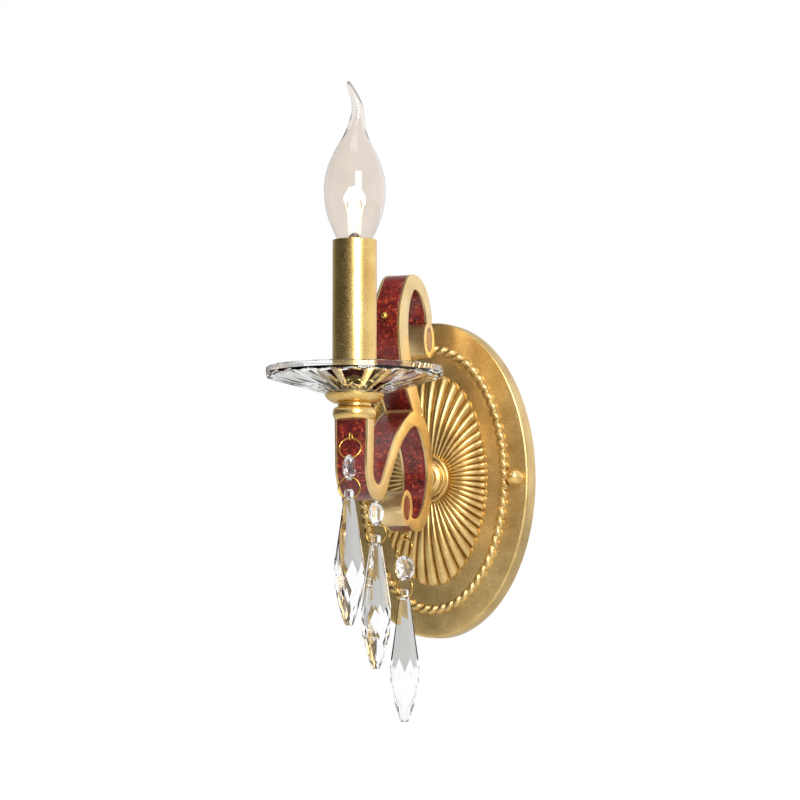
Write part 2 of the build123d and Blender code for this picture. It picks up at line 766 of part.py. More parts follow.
earth_face = washer_face + earth_screw_head_height
earth_screw = rod_y(earth_screw_head / 2, -washer_face, -earth_face, x=earth_screw_offset)
earth_screw += rod_y(earth_screw_diameter / 2, -stud_from_wall, -washer_face, x=earth_screw_offset)
earth_screw = slotted(earth_screw, earth_screw_head, -earth_face, earth_screw_offset, 0)
save(earth_screw, "earth_screw")

# Cap nuts that hold the plate on its studs
cap_face = plate_depth + cap_seat_gap
cap_ball_centre = cap_face + cap_collar_height + cap_ball_diameter / 2 - boss_sunk
for x, name in zip(stud_places, ("cap_nut_right", "cap_nut_left")):
    nut = rod_y(cap_collar_diameter / 2, -cap_face, -cap_face - cap_collar_height, x=x)
    nut += Pos(x, -cap_ball_centre, 0) * Sphere(cap_ball_diameter / 2)
    nut -= rod_y(stud_diameter / 2 + cap_bore_clearance, 0, -stud_end - cap_bore_beyond_stud, x=x)
    save(nut, name)

# Terminal block on the bar, its fixing screw and its four terminal screws
block_face = bar_thickness + block_depth
block_z = block_top - block_height / 2
block = Pos(0, block_y, block_z) * Box(block_width, block_depth, block_height)
pocket_height = block_pocket + overcut
block -= Pos(0, block_y, block_top - block_pocket + pocket_height / 2) * Box(
    lead_width + 2 * block_pocket_clearance, lead_thickness + 2 * block_pocket_clearance, pocket_height)
block -= rod_y(block_fixing_radius + thread_fit, 0, -block_face - overcut, z=block_fixing_height)
terminals = []
for x in (block_screw_pitch / 2, -block_screw_pitch / 2):
    for z in (block_z + block_screw_rows / 2, block_z - block_screw_rows / 2):
        radius = block_screw_diameter / 2
        block -= rod_y(radius + thread_fit, -block_face + block_screw_length, -block_face - overcut, x=x, z=z)
        end = -block_face - block_screw_proud
        terminals.append(slotted(rod_y(radius, -block_face + block_screw_length, end, x=x, z=z),
                                 block_screw_diameter, end, x, z))
save(block, "terminal_block")
save(Compound(children=terminals), "terminal_screws")
fixing_face = -block_face - block_fixing_head_height
fixing = rod_y(block_fixing_head / 2, -block_face, fixing_face, z=block_fixing_height)
fixing += rod_y(block_fixing_radius, -stud_from_wall, -block_face, z=block_fixing_height)
fixing = slotted(fixing, block_fixing_head, fixing_face, 0, block_fixing_height)
save(fixing, "terminal_block_screw")

# Twin lead from the terminal block through the arm to the lampholder
save(flat_lead(lead_track, lead_thickness, lead_width), "twin_lead")


# Candle cup on its nipple
def lathe(*edges):
    """Revolve a closed chain of (radius, height) edges about the leg's axis."""
    return Pos(0, leg_y, 0) * revolve(Plane.XZ * make_face(edges), axis=Axis.Z)


nipple_radius = nipple_diameter / 2
neck_top = collar_top + cup_neck_height
cup_top = neck_top + cup_rise
cup_radius = cup_diameter / 2
neck_radius = cup_neck_diameter / 2
lip_foot = cup_top - cup_lip
flare_middle = ((neck_radius + cup_radius) / 2 + cup_flare_sag,
                (neck_top + lip_foot) / 2 - cup_flare_sag / 2)
recess_radius = cup_recess_diameter / 2
lip_radius = cup_radius - cup_wall
cup = lathe(Line((0, collar_top), (neck_radius, collar_top)),
            Line((neck_radius, collar_top), (neck_radius, neck_top)),
            ThreePointArc((neck_radius, neck_top), flare_middle, (cup_radius, lip_foot)),
            Line((cup_radius, lip_foot), (cup_radius, cup_top)),
            Line((cup_radius, cup_top), (lip_radius, cup_top)),
            Line((lip_radius, cup_top), (recess_radius, cup_floor)),
            Line((recess_radius, cup_floor), (0, cup_floor)),
            Line((0, cup_floor), (0, collar_top)))
cup -= rod_z(nipple_radius + nipple_fit, collar_top - overcut, cup_floor + overcut, y=leg_y)
save(cup, "candle_cup")
nut_tops = (cup_floor + nut_height, cup_floor + 2 * nut_height + bracket_thickness)
nipple_top = nut_tops[1] + nipple_end
nipple = rod_z(nipple_radius - nipple_fit, collar_top - nipple_depth_in_arm, nipple_top, y=leg_y)
nipple -= rod_z(nipple_bore / 2, leg_top - nipple_depth_in_arm, nipple_top + overcut, y=leg_y)
save(nipple, "threaded_nipple")
nuts = []
for top in nut_tops:
    nut = Pos(0, leg_y, top - nut_height) * hexagon(nut_across, nut_height)
    low = top - nut_height - overcut
    nuts.append(nut - rod_z(nipple_radius + nipple_fit, low, top + overcut, y=leg_y))
save(Compound(children=nuts), "nipple_nuts")
sleeve = rod_z(sleeve_diameter / 2, cup_floor, sleeve_top, y=leg_y)
sleeve -= rod_z(sleeve_diameter / 2 - sleeve_wall, cup_floor - overcut, sleeve_top + overcut, y=leg_y)
sleeve = chamfer(sleeve.edges().group_by(Axis.Z)[-1], sleeve_edge)
save(sleeve, "candle_sleeve")

# Glass drip dish, round outside with flat facets cut under it
dish_radius = dish_diameter / 2
dish_hole = sleeve_diameter / 2 + dish_bore_clearance
rim_foot = dish_rim_top - dish_rim_height
dish_slope = (rim_foot - cup_top - dish_seat_gap) / (dish_radius - cup_radius)
dish_foot = rim_foot - dish_slope * (dish_radius - dish_hole)
basin_edge = dish_radius - dish_rim_width
dish = turned([(dish_hole, dish_foot), (dish_radius, rim_foot), (dish_radius, dish_rim_top),
               (basin_edge, dish_rim_top), (dish_hole, dish_foot + dish_glass)])


def facet_ring(radius, height):
    """A level many-sided outline with its corners at a radius."""
    corners = []
    for corner in range(dish_facets):
        angle = 2 * math.pi * (corner + 0.5) / dish_facets
        corners.append((radius * math.cos(angle), radius * math.sin(angle), height))
    return Wire.make_polygon(corners, close=True)


facet_start = dish_hole / 2
facet_end = dish_radius + facet_overshoot
start_height = rim_foot - dish_slope * (dish_radius - facet_start)
end_height = rim_foot + dish_slope * (facet_end - dish_radius)
facet_rings = [facet_ring(facet_start, start_height), facet_ring(facet_end, end_height),
               facet_ring(facet_end, dish_rim_top + overcut)]
dish = Pos(0, leg_y, 0) * (dish & Solid.make_loft(facet_rings, True))
save(dish, "glass_dish")

# Lampholder on its bracket
half_span = bracket_span / 2
bracket_foot = nut_tops[0]
flat = Box(bracket_span, bracket_width, bracket_thickness)
rise = holder_base - bracket_foot
bracket = Pos(0, leg_y, bracket_foot + bracket_thickness / 2) * flat
bracket += Pos(0, leg_y, holder_base - bracket_thickness / 2) * flat
for side in (1, -1):
    upright = Box(bracket_thickness, bracket_width, rise)
    bracket += Pos(side * (half_span - bracket_thickness / 2), leg_y, bracket_foot + rise / 2) * upright
bracket -= rod_z(nipple_radius + bracket_hole_clearance, bracket_foot - overcut, nut_tops[0] + nut_height,
                 y=leg_y)
bracket -= rod_z(bracket_lead_hole / 2, holder_base - nut_height, holder_base + overcut, y=leg_y)
button_low = bulb_cap_top - bulb_cap_height - bulb_insulator_height - bulb_button_height
bore_floor = button_low - contact_gap - contact_thickness
holder = rod_z(holder_diameter / 2, holder_base, holder_top, y=leg_y)
holder -= rod_z(holder_bore / 2, bore_floor, holder_top + overcut, y=leg_y)
grip_radius = holder_screw_diameter / 2
screw_seat = holder_base - bracket_thickness
holder_screws = []
for side in (1, -1):
    x = side * holder_screw_spread
    bracket -= rod_z(grip_radius + thread_fit, screw_seat - overcut, holder_base + overcut, x=x, y=leg_y)
    grip_top = holder_base + holder_screw_grip
    holder -= rod_z(grip_radius + thread_fit, holder_base - overcut, grip_top, x=x, y=leg_y)
    screw = rod_z(grip_radius, screw_seat, grip_top - link_clearance, x=x, y=leg_y)
    screw += rod_z(holder_screw_head / 2, screw_seat - holder_screw_head_height, screw_seat, x=x, y=leg_y)
    holder_screws.append(screw)
save(bracket, "lampholder_bracket")
save(holder, "lampholder_body")
save(Compound(children=holder_screws), "lampholder_screws")
floor_strip = Pos(0, leg_y, bore_floor + contact_thickness / 2) * Box(contact_width, contact_reach,
                                                                     contact_thickness)
strip_x = holder_bore / 2 - contact_wall_gap - contact_thickness / 2
wall_strip = Pos(-strip_x, leg_y, bore_floor + contact_height / 2) * Box(contact_thickness, contact_width,
                                                                       contact_height)
save(Compound(children=[floor_strip, wall_strip]), "lampholder_contacts")

# Bulb: glass, cap, insulator, button and what stands inside the glass
sway_x = math.cos(math.radians(bulb_sway_heading))
sway_y = math.sin(math.radians(bulb_sway_heading))


def glass_rings(sections, inset):
    """Level circles of the bulb's glass, less an inset."""
    rings = []
    for height, diameter, sway in sections:
        centre = (sway * sway_x, leg_y + sway * sway_y, height)
        rings.append(Wire.make_circle(diameter / 2 - inset, Plane(origin=centre)))
    return rings


glass = Solid.make_loft(glass_rings(bulb_sections, 0))
tip_height, tip_diameter, tip_sway = bulb_sections[-1]
glass += Pos(tip_sway * sway_x, leg_y + tip_sway * sway_y, tip_height) * Sphere(tip_diameter / 2)
stub_radius = bulb_sections[0][1] / 2
stub_top = bulb_sections[0][0]
glass += rod_z(stub_radius, bulb_cap_top - bulb_stub_height, stub_top, y=leg_y)
glass -= Solid.make_loft(glass_rings(bulb_sections[:bulb_hollow_sections], bulb_glass_wall))
glass -= rod_z(stub_radius - bulb_glass_wall, bulb_cap_top - bulb_stub_height - overcut, stub_top, y=leg_y)
save(glass, "bulb_glass")
cap_low = bulb_cap_top - bulb_cap_height
crest = bulb_cap_diameter / 2
root = crest - bulb_thread_depth
cap_outline = [(0, cap_low), (root, cap_low)]
for turn in range(bulb_thread_turns):
    foot = cap_low + bulb_thread_pitch * turn
    middle = foot + bulb_thread_pitch / 2
    flank = bulb_thread_pitch * bulb_thread_flank
    cap_outline += [(root, middle - flank), (crest, middle), (root, middle + flank)]
cap_outline += [(root, foot + bulb_thread_pitch), (crest, foot + bulb_thread_pitch + bulb_thread_depth),
                (crest, bulb_cap_top), (0, bulb_cap_top)]
bulb_cap = Pos(0, leg_y, 0) * turned(cap_outline)
bulb_cap -= rod_z(stub_radius + bulb_cap_fit, cap_low + bulb_cap_wall, bulb_cap_top + overcut, y=leg_y)
save(bulb_cap, "bulb_cap")
insulator_low = cap_low - bulb_insulator_height
save(rod_z(bulb_insulator_diameter / 2, insulator_low, cap_low, y=leg_y), "bulb_insulator")
save(rod_z(bulb_button_diameter / 2, button_low, insulator_low, y=leg_y), "bulb_button")
stem_low = bulb_cap_top - bulb_stub_height
stem_top = stem_low + stem_height
stem_radius = stem_diameter / 2
stem_outline = [(0, stem_low), (stem_flare_diameter / 2, stem_low), (stem_radius, stem_low + stem_diameter),
                (stem_radius, stem_top - stem_shoulder), (stem_tip_diameter / 2, stem_top), (0, stem_top)]
stem = Pos(0, leg_y, 0) * turned(stem_outline)
support_top = stem_top + support_height
support_low = stem_top - support_sunk
supports = []
for side in (1, -1):
    foot = (side * support_foot * sway_x, leg_y + side * support_foot * sway_y, support_low)
    head = (side * support_spread * sway_x, leg_y + side * support_spread * sway_y, support_top)
    line = Line(foot, head)
    wire_end = Plane(origin=foot, z_dir=line % 0)
    supports.append(sweep(wire_end * Circle(support_diameter / 2), path=line))
    stem -= sweep(wire_end * Circle(support_diameter / 2 + thread_fit), path=line)
save(stem, "bulb_stem")
save(Compound(children=supports), "bulb_supports")
filament_low = support_top + filament_gap
filament_ends = [(side * support_spread * sway_x, leg_y + side * support_spread * sway_y, filament_low)
                 for side in (1, -1)]
filament_line = ThreePointArc(filament_ends[0], (0, leg_y, filament_low + filament_rise), filament_ends[1])
filament_end = Plane(origin=filament_ends[0], z_dir=filament_line % 0)
save(sweep(filament_end * Circle(filament_diameter / 2), path=filament_line), "bulb_filament")

# Pendants: each hangs an eye, a ring, a cut bead, a second ring and a long cut drop
ring_radius = (ring_diameter - ring_wire) / 2
eye_radius = (eye_diameter - eye_wire) / 2
eye_inner = eye_radius - eye_wire / 2
wire_below_eye = eye_inner - ring_wire / 2 - link_clearance


def hole_slack(half_length, hole):
    """How far a hole's axis lies from the ring wire in it, so that the bent wire clears its ends."""
    return hole / 2 - ring_wire / 2 - link_clearance - half_length ** 2 / (2 * ring_radius)


bead_apothem = bead_diameter / 2
hole_to_centre = bead_apothem - bead_hole_inset
bead_slope = (bead_thickness - bead_girdle) / (bead_diameter - bead_table)
bead_slack = hole_slack(bead_girdle / 2 + bead_slope * bead_hole_inset, bead_hole)
drop_slack = hole_slack(drop_neck / 2, drop_hole)


def ring(height, lean=0.0):
    """A wire ring hanging by its top from a height, leaning forward about its wire."""
    circle = Pos(0, 0, -ring_radius) * Rot(90, 0, 0) * Torus(ring_radius, ring_wire / 2)
    return Pos(0, 0, height) * Rot(-lean, 0, 0) * circle


def eight_sided(across, height):
    """A level octagon, measured across its flats."""
    reach = across / 2 / math.cos(math.pi / 8)
    corners = []
    for corner in range(8):
        angle = math.pi * (corner + 0.5) / 4
        corners.append((reach * math.cos(angle), reach * math.sin(angle), height))
    return Wire.make_polygon(corners, close=True)


def cut_bead(y, z):
    """A cut bead facing X, with a hole near its top edge and another near its foot."""
    sections = [eight_sided(bead_table, -bead_thickness / 2), eight_sided(bead_diameter, -bead_girdle / 2),
                eight_sided(bead_diameter, bead_girdle / 2), eight_sided(bead_table, bead_thickness / 2)]
    bead = Rot(0, 90, 0) * Solid.make_loft(sections, True)
    for place in (hole_to_centre, -hole_to_centre):
        bead -= rod_x(bead_hole / 2, 2 * bead_thickness, z=place)
    return Pos(0, y, z) * bead


def cut_drop(y, z):
    """A cut drop whose hole lies at a place."""
    sections = [eight_sided(across, -depth) for depth, across in drop_sections]
    drop = Pos(0, 0, drop_hole_inset) * Solid.make_loft(sections, True)
    return Pos(0, y, z) * (drop - rod_x(drop_hole / 2, 2 * drop_neck))


def screw_eye(stem_length):
    """A screw eye with its loop about the origin in the YZ plane and its stem rising."""
    eye = Rot(0, 90, 0) * Torus(eye_radius, eye_wire / 2)
    return eye + rod_z(eye_wire / 2, eye_radius, eye_radius + stem_length)


front_reach = eye_stem + eye_radius
lean_room = math.radians(pendant_yaw[0])
bead_back = (bead_apothem * math.cos(lean_room) + bead_girdle / 2 * math.sin(lean_room)
             + bead_rest_gap - (front_reach - pocket_depth + enamel_sunk))
front_lean = math.degrees(math.asin(bead_back / (2 * ring_radius * math.cos(lean_room))))
eyes = []
pendant_pivots = []
pendants = zip(("front", "middle", "back"), eye_places, (eye_stem, slope_eye_stem, back_eye_stem),
               pendant_yaw, (front_lean, 0.0, 0.0))
for name, (x, y, z), stem_length, yaw, lean in pendants:
    reach = stem_length + eye_radius
    eye = screw_eye(stem_length + eye_sunk)
    if name == "front":
        place = (x, y - reach, z)
        eyes.append(Pos(*place) * Rot(-90, 0, 0) * eye)
    else:
        place = (x, y, z - reach)
        eyes.append(Pos(*place) * Rot(0, 0, yaw) * eye)
    frame = Pos(*place) * Rot(0, 0, yaw)
    turn = math.radians(lean)
    wire_top = -wire_below_eye
    centre_y = -ring_radius * math.sin(turn)
    centre_z = wire_top - ring_radius * math.cos(turn)
    bead_y = 2 * centre_y
    bead_z = wire_top - 2 * ring_radius * math.cos(turn) - bead_slack - hole_to_centre
    lower_top = bead_z - hole_to_centre - bead_slack
    drop_z = lower_top - 2 * ring_radius - drop_slack
    save(frame * ring(wire_top, lean), name + "_upper_ring")
    save(frame * cut_bead(bead_y, bead_z), name + "_bead")
    save(frame * Pos(0, bead_y, 0) * ring(lower_top), name + "_lower_ring")
    save(frame * cut_drop(bead_y, drop_z), name + "_drop")
    pendant_pivots.append((name, place, yaw, lean, wire_top, centre_y, centre_z, bead_y, lower_top))
save(Compound(children=eyes), "pendant_eyes")
for pivot in pendant_pivots:
    print("pendant pivot", *pivot)

# Pin and face screw of the upper scroll
pin = rod_y(pin_radius, pin_depth, pin_ball_y, z=pin_height)
pin += Pos(0, pin_ball_y, pin_height) * Sphere(pin_ball_diameter / 2)
save(pin, "scroll_pin")
back_screw_face = back_screw_y - back_screw_proud
back_screw = rod_y(back_screw_radius, back_screw_y + back_screw_depth, back_screw_face, z=back_screw_height)
back_screw -= hexagon_y(back_screw_socket, back_screw_y + back_screw_proud, back_screw_face - overcut,
                        z=back_screw_height)
save(back_screw, "scroll_back_screw")
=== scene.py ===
"""Candle-arm wall sconce: oval fluted plate, enamelled scroll arm, cut glass drip dish, candle tube with
its flame-tip bulb, and three crystal pendants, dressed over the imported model."""

import logging
import math
from dataclasses import dataclass
from enum import Enum

import bmesh
import bpy
from mathutils import Matrix, Vector


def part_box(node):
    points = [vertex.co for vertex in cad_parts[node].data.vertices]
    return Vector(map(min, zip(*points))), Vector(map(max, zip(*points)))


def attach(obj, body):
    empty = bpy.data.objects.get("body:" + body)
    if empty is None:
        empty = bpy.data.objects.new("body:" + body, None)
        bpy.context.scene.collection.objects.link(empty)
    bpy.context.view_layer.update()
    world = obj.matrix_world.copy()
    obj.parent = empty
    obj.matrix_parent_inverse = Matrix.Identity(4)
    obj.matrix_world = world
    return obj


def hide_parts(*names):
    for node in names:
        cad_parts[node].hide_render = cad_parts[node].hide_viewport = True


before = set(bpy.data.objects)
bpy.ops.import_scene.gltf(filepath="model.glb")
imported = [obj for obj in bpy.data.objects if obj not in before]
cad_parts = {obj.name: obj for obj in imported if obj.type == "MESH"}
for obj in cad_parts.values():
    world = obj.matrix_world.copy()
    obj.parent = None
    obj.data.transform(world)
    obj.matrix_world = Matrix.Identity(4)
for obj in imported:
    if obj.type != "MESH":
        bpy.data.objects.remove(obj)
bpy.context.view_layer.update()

log = logging.getLogger("sconce")
MM = 0.001
LEG_Y = -128.014
WALL_UNIT = "wall_unit"
FACE_OUT = Matrix(((1, 0, 0), (0, 0, -1), (0, 1, 0)))
BLACK = (0.0, 0.0, 0.0, 1.0)
WHITE = (1.0, 1.0, 1.0, 1.0)

Tree = bpy.types.NodeTree
Node = bpy.types.Node
Socket = bpy.types.NodeSocket
Colour = tuple[float, float, float, float]


def linear(code: str) -> Colour:
    """Turn an sRGB hex colour into linear red, green, blue and alpha.

    Args:
        code: the colour as six hex digits after a hash.

    Returns:
        The linear colour, opaque.
    """
    values = [int(code[place:place + 2], 16) / 255 for place in (1, 3, 5)]
    red, green, blue = [v / 12.92 if v <= 0.04045 else ((v + 0.055) / 1.055) ** 2.4 for v in values]
    return red, green, blue, 1.0


def add_node(tree: Tree, kind: str, inputs: dict | None = None, **settings: object) -> Node:
    """Add a node with its settings, input values and links.

    Args:
        tree: the node tree it goes in.
        kind: the node's Blender type.
        inputs: input name or number to a value or to another node's output socket.
        settings: the node's own properties.

    Returns:
        The new node.
    """
    node = tree.nodes.new(kind)
    for name, value in settings.items():
        setattr(node, name, value)
    for key, value in (inputs or {}).items():
        if isinstance(value, Socket):
            tree.links.new(value, node.inputs[key])
        else:
            node.inputs[key].default_value = value
    return node


def noise(tree: Tree, place: Socket, size_mm: float, inputs: dict | None = None) -> Node:
    """Add a noise pattern.

    Args:
        tree: the node tree it goes in.
        place: coordinates in metres.
        size_mm: how far apart its lumps lie, in millimetres.
        inputs: its other inputs.

    Returns:
        The noise node.
    """
    scale = 1 / (size_mm * MM)
    return add_node(tree, "ShaderNodeTexNoise", {"Vector": place, "Scale": scale, **(inputs or {})})


def maths(tree: Tree, operation: str, first: Socket, second: Socket | float) -> Socket:
    """Do a sum on two values.

    Args:
        tree: the node tree it goes in.
        operation: Blender's name for the sum.
        first: the first value.
        second: the second value.

    Returns:
        The result.
    """
    return add_node(tree, "ShaderNodeMath", {0: first, 1: second}, operation=operation).outputs[0]


def blend(tree: Tree, factor: Socket, low: object, high: object) -> Socket:
    """Mix two colours.

    Args:
        tree: the node tree it goes in.
        factor: 0 gives the low colour, 1 the high one.
        low: the low colour or its socket.
        high: the high colour or its socket.

    Returns:
        The mixed colour.
    """
    return add_node(tree, "ShaderNodeMix", {"Factor": factor, 6: low, 7: high}, data_type="RGBA").outputs[2]


def ramp(tree: Tree, value: Socket, stops: list[tuple[float, Colour]]) -> Socket:
    """Turn a value into a colour by a row of stops.

    Args:
        tree: the node tree it goes in.
        value: the value, from 0 to 1.
        stops: at least two (place, colour) stops in rising order.

    Returns:
        The colour.
    """
    node = add_node(tree, "ShaderNodeValToRGB", {"Fac": value})
    elements = node.color_ramp.elements
    for place, _ in stops[1:-1]:
        elements.new(place)
    for element, (place, colour) in zip(elements, stops):
        element.position = place
        element.color = colour
    return node.outputs[0]


# ---------------------------------------------------------------- finishes


@dataclass(frozen=True)
class Finish:
    """What every finish has: a name, a colour and a roughness."""

    name: str
    colour: str
    roughness: float

    def start(self) -> tuple[bpy.types.Material, Tree, Node, Socket]:
        """Make an empty material with its shader and object coordinates.

        Returns:
            The material, its tree, its Principled shader and its Object coordinates in metres.
        """
        material = bpy.data.materials.new(self.name)
        material.use_nodes = True
        tree = material.node_tree
        tree.nodes.clear()
        shader = add_node(tree, "ShaderNodeBsdfPrincipled",
                          {"Base Color": linear(self.colour), "Roughness": self.roughness})
        add_node(tree, "ShaderNodeOutputMaterial", {"Surface": shader.outputs[0]})
        place = add_node(tree, "ShaderNodeTexCoord").outputs["Object"]
        return material, tree, shader, place

    @staticmethod
    def raise_surface(tree: Tree, shader: Node, height: Socket, strength: float, rise_mm: float) -> None:
        """Let a pattern raise the surface.

        Args:
            tree: the node tree.
            shader: the Principled shader.
            height: the pattern.
            strength: how much of it shows.
            rise_mm: how high it rises.
        """
        bump = add_node(tree, "ShaderNodeBump",
                        {"Height": height, "Strength": strength, "Distance": rise_mm * MM})
        tree.links.new(bump.outputs[0], shader.inputs["Normal"])


@dataclass(frozen=True)
class SatinGilt(Finish):
    """Cast brass, gilt and satin lacquered: a soft broad highlight, a fine grain and cloudy warm patches.

    The real grain is finer than a tenth of a millimetre, which no picture shows, so it is drawn coarser.
    """

    shade: str
    grain_mm: float = 0.8
    cloud_mm: float = 14.0
    grain_span: tuple[float, float] = (0.3, 0.7)
    patch_span: tuple[float, float] = (0.12, 0.40)
    roughness_spread: float = 0.16
    bump_mm: float = 0.05

    def build(self) -> bpy.types.Material:
        """Make the material."""
        material, tree, shader, place = self.start()
        grain = noise(tree, place, self.grain_mm, {"Detail": 2.0, "Roughness": 0.6}).outputs["Fac"]
        cloud = noise(tree, place, self.cloud_mm, {"Detail": 3.0, "Roughness": 0.55}).outputs["Fac"]
        patches = add_node(tree, "ShaderNodeMapRange", {"Value": maths(tree, "MULTIPLY", grain, cloud),
                                                        "From Min": self.patch_span[0],
                                                        "From Max": self.patch_span[1]})
        colour = blend(tree, patches.outputs[0], linear(self.shade), linear(self.colour))
        rough = add_node(tree, "ShaderNodeMapRange",
                         {"Value": grain, "From Min": self.grain_span[0], "From Max": self.grain_span[1],
                          "To Min": self.roughness - self.roughness_spread / 2,
                          "To Max": self.roughness + self.roughness_spread / 2})
        tree.links.new(colour, shader.inputs["Base Color"])
        tree.links.new(rough.outputs[0], shader.inputs["Roughness"])
        self.raise_surface(tree, shader, grain, 0.35, self.bump_mm)
        shader.inputs["Metallic"].default_value = 1.0
        return material


@dataclass(frozen=True)
class Wire(Finish):
    """Drawn brass wire, gilt and bright: fine marks, drawn coarser than real, and a slight dark tarnish."""

    shade: str
    scratch_mm: float = 0.3

    def build(self) -> bpy.types.Material:
        """Make the material."""
        material, tree, shader, place = self.start()
        marks = noise(tree, place, self.scratch_mm, {"Detail": 1.0}).outputs["Fac"]
        colour = blend(tree, marks, linear(self.shade), linear(self.colour))
        tree.links.new(colour, shader.inputs["Base Color"])
        shader.inputs["Metallic"].default_value = 1.0
        return material


@dataclass(frozen=True)
class RedEnamel(Finish):
    """Clear red enamel fired over a hammered foil: dark pools, crinkled veins whose bright orange is a
    painted glint of the foil, and a wet gloss.
    """

    deep: str = "#4A0A0C"
    # colour of the painted foil glints along the veins
    glint_vein: str = "#D2552E"
    vein_mm: float = 2.6
    pool_mm: float = 7.0
    bend_mm: float = 6.0
    pool_span: tuple[float, float] = (0.38, 0.62)
    glint_vein_span: tuple[float, float] = (0.53, 0.68)
    crinkle_mm: float = 0.25
    foil_shine: float = 0.12
    coat: float = 0.5
    coat_roughness: float = 0.06

    def build(self) -> bpy.types.Material:
        """Make the material."""
        material, tree, shader, place = self.start()
        twist = noise(tree, place, self.pool_mm, {"Detail": 3.0, "Distortion": 0.8})
        bend = add_node(tree, "ShaderNodeVectorMath",
                        {0: twist.outputs["Color"], 1: (self.bend_mm * MM,) * 3}, operation="MULTIPLY")
        bent = add_node(tree, "ShaderNodeVectorMath", {0: place, 1: bend.outputs[0]},
                        operation="ADD").outputs[0]
        lines = {"Detail": 4.0, "Roughness": 0.62, "Distortion": 1.6}
        crinkle = noise(tree, bent, self.vein_mm, lines).outputs["Fac"]
        pool_colours = (linear(self.deep), linear(self.colour))
        pools = ramp(tree, twist.outputs["Fac"], list(zip(self.pool_span, pool_colours)))
        # the crinkle pattern is the foil's own; its bright orange is a painted glint of the foil
        glint_veins = ramp(tree, crinkle, list(zip(self.glint_vein_span, (BLACK, WHITE))))
        tree.links.new(blend(tree, glint_veins, pools, linear(self.glint_vein)), shader.inputs["Base Color"])
        self.raise_surface(tree, shader, crinkle, 0.5, self.crinkle_mm)
        shader.inputs["Metallic"].default_value = self.foil_shine
        shader.inputs["Coat Weight"].default_value = self.coat
        shader.inputs["Coat Roughness"].default_value = self.coat_roughness
        return material


@dataclass(frozen=True)
class ClearGlass(Finish):
    """Clear glass: it bends what is behind it, with faint seed and draw marks in its surface."""

    ior: float
    mark_mm: float
    mark_height_mm: float

    def build(self) -> bpy.types.Material:
        """Make the material."""
        material, tree, shader, place = self.start()
        marks = noise(tree, place, self.mark_mm, {"Detail": 1.0}).outputs["Fac"]
        self.raise_surface(tree, shader, marks, 0.2, self.mark_height_mm)
        shader.inputs["Transmission Weight"].default_value = 1.0
        shader.inputs["IOR"].default_value = self.ior
        return material


@dataclass(frozen=True)
class GrainedSolid(Finish):
    """A plain moulded, plated or pressed surface: slight mottle in colour, roughness and height."""

    shade: str
    metallic: float
    grain_mm: float
    bump_mm: float = 0.02

    def build(self) -> bpy.types.Material:
        """Make the material."""
        material, tree, shader, place = self.start()
        grain = noise(tree, place, self.grain_mm, {"Detail": 3.0}).outputs["Fac"]
        colour = blend(tree, grain, linear(self.shade), linear(self.colour))
        tree.links.new(colour, shader.inputs["Base Color"])
        self.raise_surface(tree, shader, grain, 0.3, self.bump_mm)
        shader.inputs["Metallic"].default_value = self.metallic
        return material


@dataclass(frozen=True)
class GlowingCoil(Finish):
    """A white-hot tungsten coil: it gives light, a little uneven along its turns."""

    strength: float
    turn_mm: float = 0.8
    unevenness: float = 0.3

    def build(self) -> bpy.types.Material:
        """Make the material."""
        material, tree, shader, place = self.start()
        heat = add_node(tree, "ShaderNodeMapRange", {"Value": noise(tree, place, self.turn_mm).outputs["Fac"],
                                                     "To Min": self.strength * (1 - self.unevenness),
                                                     "To Max": self.strength * (1 + self.unevenness)})
        tree.links.new(heat.outputs[0], shader.inputs["Emission Strength"])
        shader.inputs["Emission Color"].default_value = linear(self.colour)
        return material


